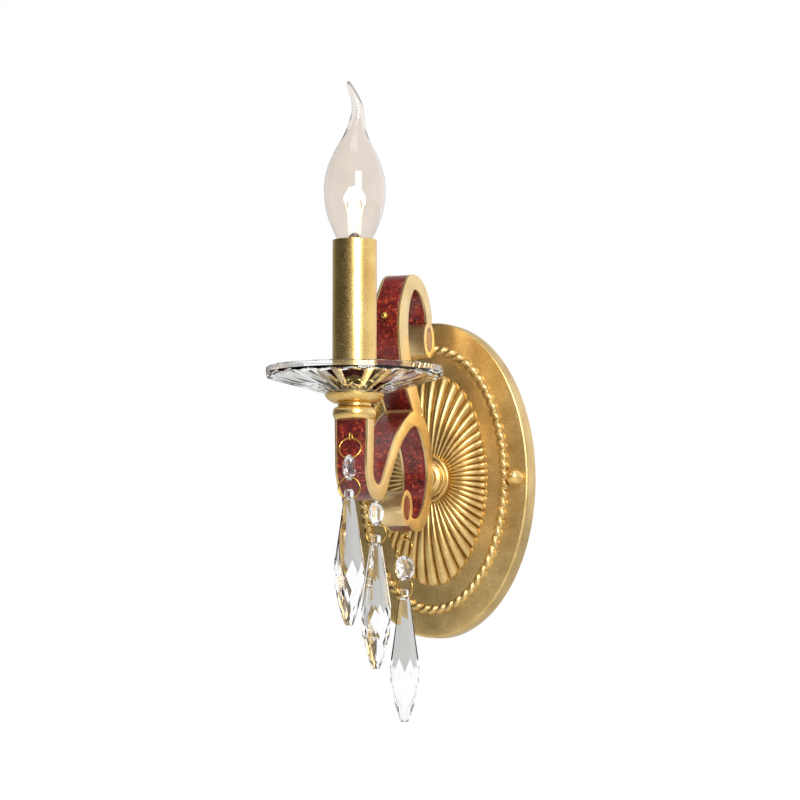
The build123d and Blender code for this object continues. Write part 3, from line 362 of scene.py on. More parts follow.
class Dress(Enum):
    """The finishes of the sconce, each with the record's slot it belongs to."""

    # Cast plate, gilt and satin lacquered: a broad soft shine, cloudy warm patches and fine sparkling grain.
    GILT = ("gilt_brass", SatinGilt("satin gilt cast brass", "#E8CC8E", 0.36, "#BE9C60"))
    # The arm's casting: the same satin gilt painted paler, a painted sheen for the bright reflection on its
    # faces, so that its rails stand out from the enamel.
    ARM = ("gilt_brass", SatinGilt("satin gilt arm casting with painted sheen", "#F3DCAA", 0.38, "#DDBD80"))
    # Drawn or turned brass, gilt and lacquered: tighter highlights and less grain in its height.
    TUBE = ("gilt_brass", SatinGilt("satin gilt drawn brass", "#F0D28C", 0.30, "#D8B068"))
    # Drawn wire, gilt bright: sharp glints along each ring.
    WIRE = ("gold_wire", Wire("bright gilt brass wire", "#E6C06A", 0.14, "#B98A34"))
    # Red enamel fired over crinkled foil: deep pools, orange veins painted as glints of the foil, and a wet
    # coat.
    ENAMEL = ("red_enamel", RedEnamel("red enamel over crinkled foil", "#74120F", 0.34))
    # Lead crystal, cut and polished: strong bending of light, flat bright facets.
    CRYSTAL = ("crystal", ClearGlass("cut lead crystal", "#FFFFFF", 0.0, 1.54, 9.0, 0.004))
    # Pressed and cut soda glass: clearer and less bending than the drops.
    DISH = ("crystal", ClearGlass("cut dish glass", "#FFFFFF", 0.0, 1.48, 9.0, 0.004))
    # Thin blown glass: a faint warm grey tint and slow draw marks.
    BULB = ("bulb_glass", ClearGlass("blown bulb glass", "#F2EBE5", 0.0, 1.46, 16.0, 0.02))
    # Zinc plated steel: a cool mottled grey.
    ZINC = ("zinc_steel", GrainedSolid("zinc plated steel", "#B9BCBD", 0.34, "#8E9294", 1.0, 1.2))
    # Black phenolic, moulded: dull and nearly black.
    HOLDER = ("holder_plastic", GrainedSolid("black phenolic moulding", "#1B1A19", 0.45, "#100F0F", 0.0, 0.9))
    # White polyamide, moulded: warm white with a soft sheen.
    BLOCK = ("block_plastic", GrainedSolid("white polyamide moulding", "#E9E6DC", 0.42, "#DAD6CA", 0.0, 1.1))
    # Silicone cover of the lead, extruded: milky and smooth.
    LEAD = ("lead_cover", GrainedSolid("clear silicone lead cover", "#D8D5CB", 0.38, "#C4C0B5", 0.0, 1.6))
    # Nickel plated brass, pressed and rolled: bright and warm grey.
    CAP = ("bulb_cap_metal",
           GrainedSolid("pressed nickel plated brass", "#C9C2B4", 0.24, "#A59C8A", 1.0, 1.0))
    # Black glass of the cap, poured: glossy and black.
    BASE = ("bulb_base_glass", GrainedSolid("black glass insulator", "#121216", 0.12, "#0A0A0D", 0.0, 2.0))
    # Tungsten wire, coiled and white-hot: it lights the glass from inside.
    FILAMENT = ("filament_wire", GlowingCoil("white-hot tungsten coil", "#FFE9C8", 0.4, 90.0))
    # Nickel wire, drawn: bright legs under the coil.
    SUPPORT = ("filament_wire", GrainedSolid("nickel filament support", "#F4E6CF", 0.3, "#D9C7A8", 1.0, 0.8))

    @property
    def slot(self) -> str:
        """The record's material slot."""
        return self.value[0]

    @property
    def material(self) -> bpy.types.Material:
        """The finish's material, made on its first use."""
        return bpy.data.materials.get(self.value[1].name) or self.value[1].build()


# ---------------------------------------------------------------- meshes in the making


def full_turn(bm: bmesh.types.BMesh, steps: int) -> None:
    """Spin the whole mesh once about the Z axis and merge it where it closes."""
    bmesh.ops.spin(bm, geom=bm.verts[:] + bm.edges[:], cent=(0, 0, 0), axis=(0, 0, 1), angle=2 * math.pi,
                   steps=steps, use_merge=True)


def linked(name: str, data: bpy.types.ID) -> bpy.types.Object:
    """Make an object of its data and link it to the scene."""
    thing = bpy.data.objects.new(name, data)
    bpy.context.scene.collection.objects.link(thing)
    return thing


def turns(count: int) -> list[float]:
    """Evenly spaced angles once round, in radians."""
    return [2 * math.pi * step / count for step in range(count)]


def off_wall(radius: float, angle: float, out: float) -> Vector:
    """A place at a radius and an angle about the origin's Y axis, at so much off the wall."""
    return Vector((radius * math.cos(angle), -out, radius * math.sin(angle)))


class Shape:
    """A mesh in the making, in millimetres, in the row frame."""

    def __init__(self) -> None:
        """Start with an empty mesh."""
        self.mesh = bmesh.new()

    @classmethod
    def of_node(cls, node: str, flatness_deg: float = 0.4) -> "Shape":
        """Copy a CAD node, with its doubles merged and its flat faces made whole.

        Args:
            node: the CAD node's name.
            flatness_deg: faces that lie within this angle are one face.

        Returns:
            The copy.
        """
        shape = cls()
        shape.mesh.from_mesh(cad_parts[node].data)
        bmesh.ops.scale(shape.mesh, vec=(1 / MM,) * 3, verts=shape.mesh.verts)
        bmesh.ops.remove_doubles(shape.mesh, verts=shape.mesh.verts, dist=0.001)
        bmesh.ops.dissolve_limit(shape.mesh, angle_limit=math.radians(flatness_deg), verts=shape.mesh.verts,
                                 edges=shape.mesh.edges)
        return shape

    @classmethod
    def turned(cls, outline: list[tuple[float, float]], steps: int = 96) -> "Shape":
        """Turn an outline a full turn about the Z axis.

        Args:
            outline: (radius, height) points; the last joins the first unless both are on the axis.
            steps: how many steps the turn takes.

        Returns:
            The closed shape.
        """
        shape = cls()
        bm = shape.mesh
        first = last = bm.verts.new((outline[0][0], 0.0, outline[0][1]))
        for radius, height in outline[1:]:
            made = bmesh.ops.extrude_vert_indiv(bm, verts=[last])
            last = made["verts"][0]
            last.co = (radius, 0.0, height)
        if outline[0][0] > 0 or outline[-1][0] > 0:
            bm.edges.new((last, first))
        full_turn(bm, steps)
        bmesh.ops.remove_doubles(bm, verts=bm.verts, dist=0.0005)
        bmesh.ops.dissolve_degenerate(bm, edges=bm.edges, dist=0.0001)
        return shape.outward()

    @classmethod
    def stacked(cls, rings: list[list[Vector]], closed_ends: bool = True, joined: bool = False) -> "Shape":
        """Extrude a ring of points through a row of other rings.

        Args:
            rings: rings with as many points each.
            closed_ends: fill the first and the last ring, unless they are joined.
            joined: join the last ring to the first instead.

        Returns:
            The shape.
        """
        shape = cls()
        bm = shape.mesh
        made = bmesh.ops.create_circle(bm, segments=len(rings[0]), radius=1.0)
        verts = made["verts"]
        edges = bm.edges[:]
        first_edges = edges
        for vert, place in zip(verts, rings[0]):
            vert.co = place
        for ring in rings[1:]:
            made = bmesh.ops.extrude_edge_only(bm, edges=edges)
            fresh = {element for element in made["geom"] if isinstance(element, bmesh.types.BMVert)}
            edges = [element for element in made["geom"] if isinstance(element, bmesh.types.BMEdge)]
            verts = [next(edge.other_vert(vert) for edge in vert.link_edges if edge.other_vert(vert) in fresh)
                     for vert in verts]
            for vert, place in zip(verts, ring):
                vert.co = place
        if joined:
            bmesh.ops.bridge_loops(bm, edges=first_edges + edges)
        elif closed_ends:
            bmesh.ops.edgeloop_fill(bm, edges=first_edges)
            bmesh.ops.edgeloop_fill(bm, edges=edges)
        return shape.outward()

    @classmethod
    def hull(cls, points: list[Vector]) -> "Shape":
        """The tight skin round a few points, with its flat faces made whole.

        Args:
            points: the corners.

        Returns:
            The closed shape.
        """
        shape = cls()
        bm = shape.mesh
        for place in points:
            bm.verts.new(place)
        bmesh.ops.convex_hull(bm, input=bm.verts[:])
        bmesh.ops.dissolve_limit(bm, angle_limit=math.radians(1.0), verts=bm.verts, edges=bm.edges)
        return shape.outward()

    def outward(self) -> "Shape":
        """Turn every face outwards."""
        bmesh.ops.recalc_face_normals(self.mesh, faces=self.mesh.faces)
        return self

    def moved(self, place: Vector | tuple[float, float, float] = (0, 0, 0),
              turn: Matrix | None = None) -> "Shape":
        """Turn the shape about the origin, then move it.

        Args:
            place: how far it moves.
            turn: the turn, if any.

        Returns:
            The same shape.
        """
        matrix = Matrix.Translation(place) @ (turn.to_4x4() if turn else Matrix.Identity(4))
        bmesh.ops.transform(self.mesh, matrix=matrix, verts=self.mesh.verts)
        return self

    def joined_with(self, *others: "Shape") -> "Shape":
        """Take in other shapes' meshes.

        Args:
            others: the shapes, which are emptied.

        Returns:
            The same shape.
        """
        for other in others:
            carrier = bpy.data.meshes.new("carrier")
            other.mesh.to_mesh(carrier)
            self.mesh.from_mesh(carrier)
            other.mesh.free()
            bpy.data.meshes.remove(carrier)
        return self

    def softened(self, width_mm: float, segments: int = 2, angle_deg: float = 30.0) -> "Shape":
        """Bevel the sharp edges.

        Args:
            width_mm: how far the bevel reaches.
            segments: how many faces it has.
            angle_deg: edges sharper than this are bevelled.

        Returns:
            The same shape.
        """
        limit = math.radians(angle_deg)
        sharp = [edge for edge in self.mesh.edges if len(edge.link_faces) == 2
                 and edge.calc_face_angle(0.0) > limit]
        bmesh.ops.bevel(self.mesh, geom=sharp, offset=width_mm, offset_type="OFFSET", segments=segments,
                        profile=0.5, affect="EDGES", material=-1, clamp_overlap=True)
        return self

    def cut_by(self, *cutters: "Shape") -> "Shape":
        """Cut other shapes out of this one.

        Args:
            cutters: closed shapes, which are emptied.

        Returns:
            The same shape.
        """
        body = self.as_object("body in the making")
        for cutter in cutters:
            tool = cutter.as_object("cutter")
            cut = body.modifiers.new("cut", "BOOLEAN")
            cut.operation = "DIFFERENCE"
            cut.solver = "EXACT"
            cut.object = tool
            evaluated = body.evaluated_get(bpy.context.evaluated_depsgraph_get())
            done = bpy.data.meshes.new_from_object(evaluated)
            body.modifiers.clear()
            body.data = done
            bpy.data.objects.remove(tool)
        self.mesh = bmesh.new()
        self.mesh.from_mesh(body.data)
        bpy.data.objects.remove(body)
        return self

    def as_object(self, name: str) -> bpy.types.Object:
        """Turn the mesh in the making into an object, still in millimetres.

        Args:
            name: the object's name.

        Returns:
            The object, linked to the scene.
        """
        data = bpy.data.meshes.new(name)
        self.mesh.to_mesh(data)
        self.mesh.free()
        return linked(name, data)

    def finish(self, name: str, dress: Dress, body: str, *nodes: str,
               smooth_deg: float = 35.0) -> bpy.types.Object:
        """Make the piece: its object, its shading, its finish, its body and the CAD nodes it stands for.

        Args:
            name: the piece's name.
            dress: its finish.
            body: the CAD body that it rides on.
            nodes: the CAD nodes that it replaces.
            smooth_deg: edges sharper than this stay sharp; 0 leaves every face flat.

        Returns:
            The piece.
        """
        bmesh.ops.scale(self.mesh, vec=(MM,) * 3, verts=self.mesh.verts)
        for face in self.mesh.faces:
            face.smooth = smooth_deg > 0
        piece = self.as_object(name)
        if smooth_deg > 0:
            piece.data.set_sharp_from_angle(angle=math.radians(smooth_deg))
        piece.data.materials.append(dress.material)
        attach(piece, body)
        if nodes:
            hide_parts(*nodes)
        log.info("%s: %d faces, %s, rides on %s", name, len(piece.data.polygons), dress.slot, body)
        return piece


def arc(centre: tuple[float, float], radius: float, start_deg: float, end_deg: float,
        steps: int) -> list[tuple[float, float]]:
    """Points along an arc in an outline.

    Args:
        centre: the arc's centre.
        radius: its radius.
        start_deg: where it starts, from the first axis.
        end_deg: where it ends.
        steps: how many steps it takes.

    Returns:
        The points, both ends included.
    """
    angles = [math.radians(start_deg + (end_deg - start_deg) * step / steps) for step in range(steps + 1)]
    return [(centre[0] + radius * math.cos(a), centre[1] + radius * math.sin(a)) for a in angles]


def rod(radius: float, start: Vector | tuple, end: Vector | tuple, sides: int = 32) -> Shape:
    """A straight round rod.

    Args:
        radius: its radius.
        start: the middle of one end.
        end: the middle of the other end.
        sides: how many sides it has.

    Returns:
        The closed shape.
    """
    start, end = Vector(start), Vector(end)
    turn = (end - start).to_track_quat("Z", "Y").to_matrix()
    shape = Shape()
    bmesh.ops.create_cone(shape.mesh, cap_ends=True, segments=sides, radius1=radius, radius2=radius,
                          depth=(end - start).length)
    return shape.moved((start + end) / 2, turn)


def wire_ring(radius: float, wire: float, centre: Vector, axis: Vector, steps: int = 64,
              sides: int = 12) -> Shape:
    """A closed ring of round wire.

    Args:
        radius: from the ring's centre to the wire's middle.
        wire: the wire's diameter.
        centre: the ring's centre.
        axis: the ring's axis.
        steps: how many steps go round the ring.
        sides: how many sides the wire has.

    Returns:
        The closed shape.
    """
    shape = Shape()
    bm = shape.mesh
    bmesh.ops.create_circle(bm, segments=sides, radius=wire / 2)
    bmesh.ops.rotate(bm, cent=(0, 0, 0), matrix=Matrix.Rotation(math.pi / 2, 3, "X"), verts=bm.verts)
    bmesh.ops.translate(bm, vec=(radius, 0, 0), verts=bm.verts)
    full_turn(bm, steps)
    shape.outward()
    return shape.moved(centre, Vector(axis).to_track_quat("Z", "Y").to_matrix())


def on_leg(outline: list[tuple[float, float]], steps: int) -> Shape:
    """Turn an outline about the middle of the arm's front leg."""
    return Shape.turned(outline, steps).moved((0, LEG_Y, 0))


# ---------------------------------------------------------------- sub-assemblies


@dataclass
class WallPlate:
    """The oval plate: shell, rope ring, fluted sun and the boss that carries the arm."""

    width: float = 119.0
    height: float = 185.0
    depth: float = 12.2
    wall: float = 1.8
    rim_round: float = 1.5
    face_width: float = 34.0
    rope_width: float = 89.4
    rope_height: float = 152.4
    rope_crest: float = 3.1
    rope_proud: float = 2.9
    rope_waist: float = 0.30
    rope_slant_deg: float = 28.0
    rope_groove: float = 0.98
    rope_bunching: float = 0.12
    rope_lobes: int = 66
    rope_steps: int = 10
    rope_sides: int = 20
    sun_width: float = 68.0
    sun_height: float = 125.0
    sun_shoulder: float = 3.0
    sun_rise: float = 8.0
    sun_swell: float = 4.2
    swell_power: float = 0.8
    sun_ridges: int = 52
    ridge_steps: int = 12
    ridge_share: float = 0.46
    ridge_limit: float = 2.5
    notch_limit: float = 2.6
    dome_inset: float = 2.6
    dome_relief: float = 1.06
    # the sun's edge from its foot up: how far in, how high, and how much of the relief it has
    sun_edge: tuple[tuple[float, float, float], ...] = (
        (0.0, -0.8, 0.0), (0.0, 0.0, 0.0), (0.0, 0.9, 0.55), (0.35, 1.7, 0.85), (1.0, 2.3, 1.0),
        (2.2, 2.9, 1.06))
    # the dome's rings, from the edge (0) to the boss (1)
    sun_travels: tuple[float, ...] = (0.03, 0.07, 0.12, 0.18, 0.26, 0.36, 0.48, 0.6, 0.72, 0.82, 0.9, 0.96,
                                      1.0)
    under_hole: float = 11.2
    boss_radius: float = 14.2
    boss_length: float = 12.2
    boss_seat: float = 8.4
    stud_spacing: float = 106.0
    stud_hole: float = 4.6
    lead_z: float = 3.8
    lead_hole: float = 3.0
    arm_screw_z: float = -5.0
    arm_screw_hole: float = 2.1
    nut_gap: float = 0.05

    def oval(self, half_x: float, half_z: float, out: float, count: int = 160) -> list[Vector]:
        """A level oval in front of the wall.

        Args:
            half_x: half its width.
            half_z: half its height.
            out: how far it lies from the wall.
            count: how many points it has.

        Returns:
            Its points.
        """
        return [Vector((half_x * math.cos(a), -out, half_z * math.sin(a))) for a in turns(count)]

    def shell(self) -> None:
        """Make the plate's rim, side wall and flat face."""
        a, b = self.width / 2, self.height / 2
        outline = [(0.0, 0.0), (0.0, self.depth - self.rim_round)]
        outline += [(self.rim_round - x, self.depth - self.rim_round + y)
                    for x, y in arc((0, 0), self.rim_round, 0, 90, 5)]
        outline += [(6.0, self.depth), (self.face_width, self.depth),
                    (self.face_width, self.depth - self.wall), (self.wall + 0.8, self.depth - self.wall),
                    (self.wall, self.depth - self.wall - 0.8), (self.wall, 0.0)]
        rings = [self.oval(a - inset, b - inset, out) for inset, out in outline]
        shell = Shape.stacked(rings, closed_ends=False, joined=True)
        holes = [rod(self.stud_hole / 2, (side * self.stud_spacing / 2, 1, 0),
                     (side * self.stud_spacing / 2, -self.depth - 1, 0)) for side in (1, -1)]
        shell.cut_by(*holes).finish("plate_shell", Dress.GILT, WALL_UNIT, "back_plate")

    def rope(self) -> None:
        """Make the twisted rope that runs round the plate's face: full, slanted lobes with deep grooves."""
        a, b = self.rope_width / 2, self.rope_height / 2
        stations = self.rope_lobes * self.rope_steps
        out = self.depth + self.rope_proud - self.rope_crest
        pitch = math.pi * math.sqrt(2 * (a * a + b * b)) / self.rope_lobes
        slant = math.tan(math.radians(self.rope_slant_deg)) / pitch
        outward = Vector((0, -1, 0))
        rings = []
        for station, plain in enumerate(turns(stations)):
            angle = plain - self.rope_bunching * math.sin(2 * plain)
            centre = Vector((a * math.cos(angle), -out, b * math.sin(angle)))
            along = Vector((-a * math.sin(angle), 0, b * math.cos(angle))).normalized()
            across = along.cross(outward)
            ring = []
            for spot in turns(self.rope_sides):
                phase = station * self.rope_lobes / stations + self.rope_crest * math.cos(spot) * slant
                swell = 2 * (phase % 1.0) - 1
                fullness = math.sqrt(1 - self.rope_groove * swell ** 2)
                radius = self.rope_crest * (self.rope_waist + (1 - self.rope_waist) * fullness)
                ring.append(centre + radius * (math.cos(spot) * across + math.sin(spot) * outward))
            rings.append(ring)
        Shape.stacked(rings, closed_ends=False, joined=True).finish("rope_ring", Dress.GILT, WALL_UNIT,
                                                                    smooth_deg=75)

    def sun_reach(self, angle: float) -> float:
        """How far the sun's tips lie from its middle at an angle."""
        return 1 / math.hypot(math.cos(angle) / (self.sun_width / 2), math.sin(angle) / (self.sun_height / 2))

    def sun(self) -> None:
        """Make the fluted sun: a dome of half-round rays, evenly turned, that widen to round tips."""
        inner = self.boss_radius - 1.0
        step_turn = 2 * math.pi / self.sun_ridges
        spots = []
        for index in range(self.sun_ridges * self.ridge_steps):
            ridge, step = divmod(index, self.ridge_steps)
            part = (1 - math.cos(math.pi * step / self.ridge_steps)) / 2
            arch = math.sqrt(max(0.0, 1 - (2 * part - 1) ** 2))
            spots.append((step_turn * ridge, arch, step_turn * (ridge + part - 0.5)))
        rows = [(inset, 0.0, rise, share) for inset, rise, share in self.sun_edge]
        for travel in self.sun_travels:
            rise = (self.sun_shoulder + (self.sun_rise - self.sun_shoulder) * travel
                    + self.sun_swell * math.sin(travel * math.pi) ** self.swell_power)
            rows.append((self.dome_inset, travel, rise, self.dome_relief))
        rings = []
        for inset, travel, rise, share in rows:
            ring = []
            for crest, arch, angle in spots:
                notch = min(self.notch_limit, 0.5 * step_turn * self.sun_reach(crest)) * (1 - arch)
                radius = (self.sun_reach(angle) - notch - inset) * (1 - travel) + inner * travel
                relief = min(self.ridge_share * step_turn * radius, self.ridge_limit) * share
                ring.append(off_wall(radius, angle, self.depth + rise + relief * (arch - 1)))
            rings.append(ring)
        # under the dome: round the boss's foot, halfway out, and inside the edge
        roof = self.depth + self.sun_rise - self.wall
        rings.append([Vector((self.under_hole * point.x / inner, -roof, self.under_hole * point.z / inner))
                      for point in rings[-1]])
        for scale, less, out in ((0.6, 0.0, roof - 1.6), (1.0, 4.6, self.depth - self.wall - 0.35)):
            rings.append([off_wall(scale * self.sun_reach(angle) - less, angle, out)
                          for _, _, angle in spots])
        Shape.stacked(rings, closed_ends=False, joined=True).finish("fluted_sun", Dress.GILT, WALL_UNIT,
                                                                    smooth_deg=60)

    def boss(self) -> None:
        """Make the turned boss, with its ring, hollow and dome and the ways of lead and screw through it."""
        foot = self.depth + self.sun_rise
        top = foot + self.boss_length
        base = self.boss_radius
        outline = [(0.0, foot - self.wall), (base - 1, foot - self.wall), (base, foot - self.wall + 0.6)]
        outline += arc((base - 1.4, foot + 2.0), 1.4, 0, 90, 6)
        outline += arc((11.6, foot + 4.2), 1.0, 270, 180, 5)
        outline += [(10.6, foot + 5.6)]
        outline += arc((9.8, foot + 6.4), 0.8, 0, 90, 4)
        outline += arc((9.4, foot + 9.0), 1.4, 250, 180, 4)
        outline += [(self.boss_seat, top - 0.6), (self.boss_seat - 0.6, top), (0.0, top)]
        boss = Shape.turned(outline, 128).moved(turn=FACE_OUT)
        boss.outward()
        ways = [rod(radius, (0, 1, up), (0, -top - 1, up)) for radius, up in
                ((self.lead_hole, self.lead_z), (self.arm_screw_hole, self.arm_screw_z))]
        boss.cut_by(*ways).finish("arm_boss", Dress.GILT, WALL_UNIT)

    def cap_nuts(self) -> None:
        """Make the two ball cap nuts."""
        for side, name in ((1, "right"), (-1, "left")):
            outline = [(2.1, 0.0), (3.3, 0.0), (3.7, 0.4), (3.7, 1.2), (3.3, 1.6), (2.7, 1.9)]
            outline += arc((0, 5.7), 4.6, -52, 90, 16)[:-1] + [(0.0, 10.3), (0.0, 5.4), (2.1, 5.4)]
            nut = Shape.turned(outline, 64).moved(turn=FACE_OUT)
            nut.moved((side * self.stud_spacing / 2, -(self.depth + self.nut_gap), 0)).outward()
            nut.finish("ball_nut_" + name, Dress.TUBE, name + "_cap_nut", "cap_nut_" + name)

    def build(self) -> None:
        """Build every piece of the plate."""
        self.shell()
        self.rope()
        self.sun()
        self.boss()
        self.cap_nuts()


@dataclass
class ScrollArm:
    """The casting, its enamel and its small fixings."""

    edge_round: float = 0.6
    enamel_round: float = 0.12
    screw_round: float = 0.15
    enamels: tuple[str, ...] = ("leg_and_loop", "diagonal", "loop_tail", "loop_back", "scroll_outer",
                                "scroll_inner", "roll_ends")
    ball: float = 4.2
    pin_stem: float = 0.8
    ring_radius: float = 10.3
    ring_bulge: float = 2.0
    ring_low: float = 26.4
    ring_high: float = 33.8

    def build(self) -> None:
        """Build the casting, the enamel and the fixings."""
        # the casting wears the paler gilt, whose paleness is a painted sheen
        Shape.of_node("scroll_arm").softened(self.edge_round, 3).finish("arm_casting", Dress.ARM, WALL_UNIT,
                                                                        "scroll_arm")
        pieces = [("enamel_" + name, "red_" + name, self.enamel_round, 1) for name in self.enamels]
        pieces += [("arm_screw", "arm_screw_head", self.screw_round, 2),
                   ("scroll_back_screw", "scroll_screw_ring", self.screw_round, 2)]
        for node, name, width, segments in pieces:
            Shape.of_node(node).softened(width, segments).finish(name, Dress.ENAMEL, WALL_UNIT, node)
        low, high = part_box("scroll_pin")
        length = (high[1] - low[1]) / MM
        outline = [(0.0, length), (self.pin_stem, length), (self.pin_stem, self.ball - 0.25)]
        outline += arc((0, self.ball / 2), self.ball / 2, 65, -90, 16)
        outline[-1] = (0.0, 0.0)
        pin = Shape.turned(outline, 40).moved(turn=Matrix(((1, 0, 0), (0, 0, 1), (0, -1, 0))))
        pin.moved((0, low[1] / MM, (low[2] + high[2]) / 2 / MM)).outward()
        pin.finish("scroll_ball_pin", Dress.WIRE, WALL_UNIT, "scroll_pin")
        middle = (self.ring_low + self.ring_high) / 2
        half = (self.ring_high - self.ring_low) / 2
        outline = [(self.ring_radius - 3, self.ring_low), (self.ring_radius - 0.6, self.ring_low)]
        outline += [(self.ring_radius + self.ring_bulge * math.cos(a), middle + half * 0.94 * math.sin(a))
                    for a in [math.radians(-80 + 160 * step / 16) for step in range(17)]]
        outline += [(self.ring_radius - 0.6, self.ring_high), (self.ring_radius - 3, self.ring_high)]
        on_leg(outline, 96).finish("collar_ring", Dress.TUBE, WALL_UNIT)


@dataclass
class Candle:
    """The cup on its neck and the brass candle tube."""

    collar_top: float = 34.0
    neck_radius: float = 9.5
    neck_top: float = 35.6
    cup_radius: float = 16.7
    cup_top: float = 41.0
    cup_floor: float = 38.6
    nipple_hole: float = 5.04
    tube_radius: float = 12.5
    tube_wall: float = 1.0
    tube_top: float = 128.4

    def build(self) -> None:
        """Build the cup and the tube."""
        flare = [(self.neck_radius + 0.2, self.neck_top + 0.15), (12.0, 36.1), (14.2, 37.3), (15.7, 38.6),
                 (16.4, 39.6)]
        outline = [(self.nipple_hole, self.collar_top), (self.neck_radius - 0.3, self.collar_top),
                   (self.neck_radius, self.collar_top + 0.3), (self.neck_radius, self.neck_top - 0.1)]
        outline += flare + [(self.cup_radius, 40.1), (self.cup_radius, self.cup_top - 0.3),
                            (self.cup_radius - 0.3, self.cup_top), (self.cup_radius - 1, self.cup_top),
                            (13.0, self.cup_floor), (self.nipple_hole, self.cup_floor)]
        on_leg(outline, 112).finish("flared_cup", Dress.TUBE, WALL_UNIT, "candle_cup")
        inner = self.tube_radius - self.tube_wall
        outline = [(inner, self.cup_floor), (self.tube_radius, self.cup_floor)]
        outline += [(self.tube_radius, self.cup_floor + 30), (self.tube_radius, self.tube_top - 0.4)]
        outline += arc((self.tube_radius - 0.4, self.tube_top - 0.4), 0.4, 0, 90, 3)[1:]
        outline += [(inner, self.tube_top)]
        on_leg(outline, 128).finish("candle_tube", Dress.TUBE, WALL_UNIT, "candle_sleeve")


@dataclass
class DripDish:
    """The thick glass dish, with rays cut into its underside."""

    radius: float = 50.0
    hole: float = 13.1
    foot: float = 40.295
    rim_foot: float = 50.6
    rim_top: float = 56.2
    basin_edge: float = 47.0
    glass: float = 4.6
    rays: int = 24
    ray_depth: float = 1.3
    chamfer: float = 0.5
    basin_step: float = 3.0

    def build(self) -> None:
        """Build the dish."""
        count = self.rays * 4
        slope = (self.rim_foot - self.foot) / (self.radius - self.hole)

        def ring(radius: float, height: float, cut: float = 0.0) -> list[Vector]:
            """A level ring whose every ray is cut up by so much."""
            points = []
            for index in range(count):
                angle = 2 * math.pi * index / count
                lift = cut * (1 - abs((index % 4) - 2) / 2)
                points.append(Vector((radius * math.cos(angle), radius * math.sin(angle), height + lift)))
            return points

        lower = [(self.hole, 0.0), (17.5, 0.0), (24.0, 0.55), (36.0, 0.95), (self.radius - 0.35, 1.0)]
        rings = [ring(radius, self.foot + slope * (radius - self.hole), self.ray_depth * share)
                 for radius, share in lower]
        rings += [ring(self.radius, self.rim_foot + 0.4, self.ray_depth),
                  ring(self.radius, self.rim_top - self.chamfer),
                  ring(self.radius - self.chamfer, self.rim_top),
                  ring(self.basin_edge + 0.3, self.rim_top), ring(self.basin_edge, self.rim_top - 0.3),
                  ring(self.basin_edge - 0.4, self.rim_top - self.basin_step),
                  ring(self.basin_edge - 2.2, self.rim_top - self.basin_step - 0.9),
                  ring(self.hole, self.foot + self.glass)]
        Shape.stacked(rings, closed_ends=False, joined=True).moved((0, LEG_Y, 0)).finish(
            "cut_dish", Dress.DISH, WALL_UNIT, "glass_dish", smooth_deg=5)


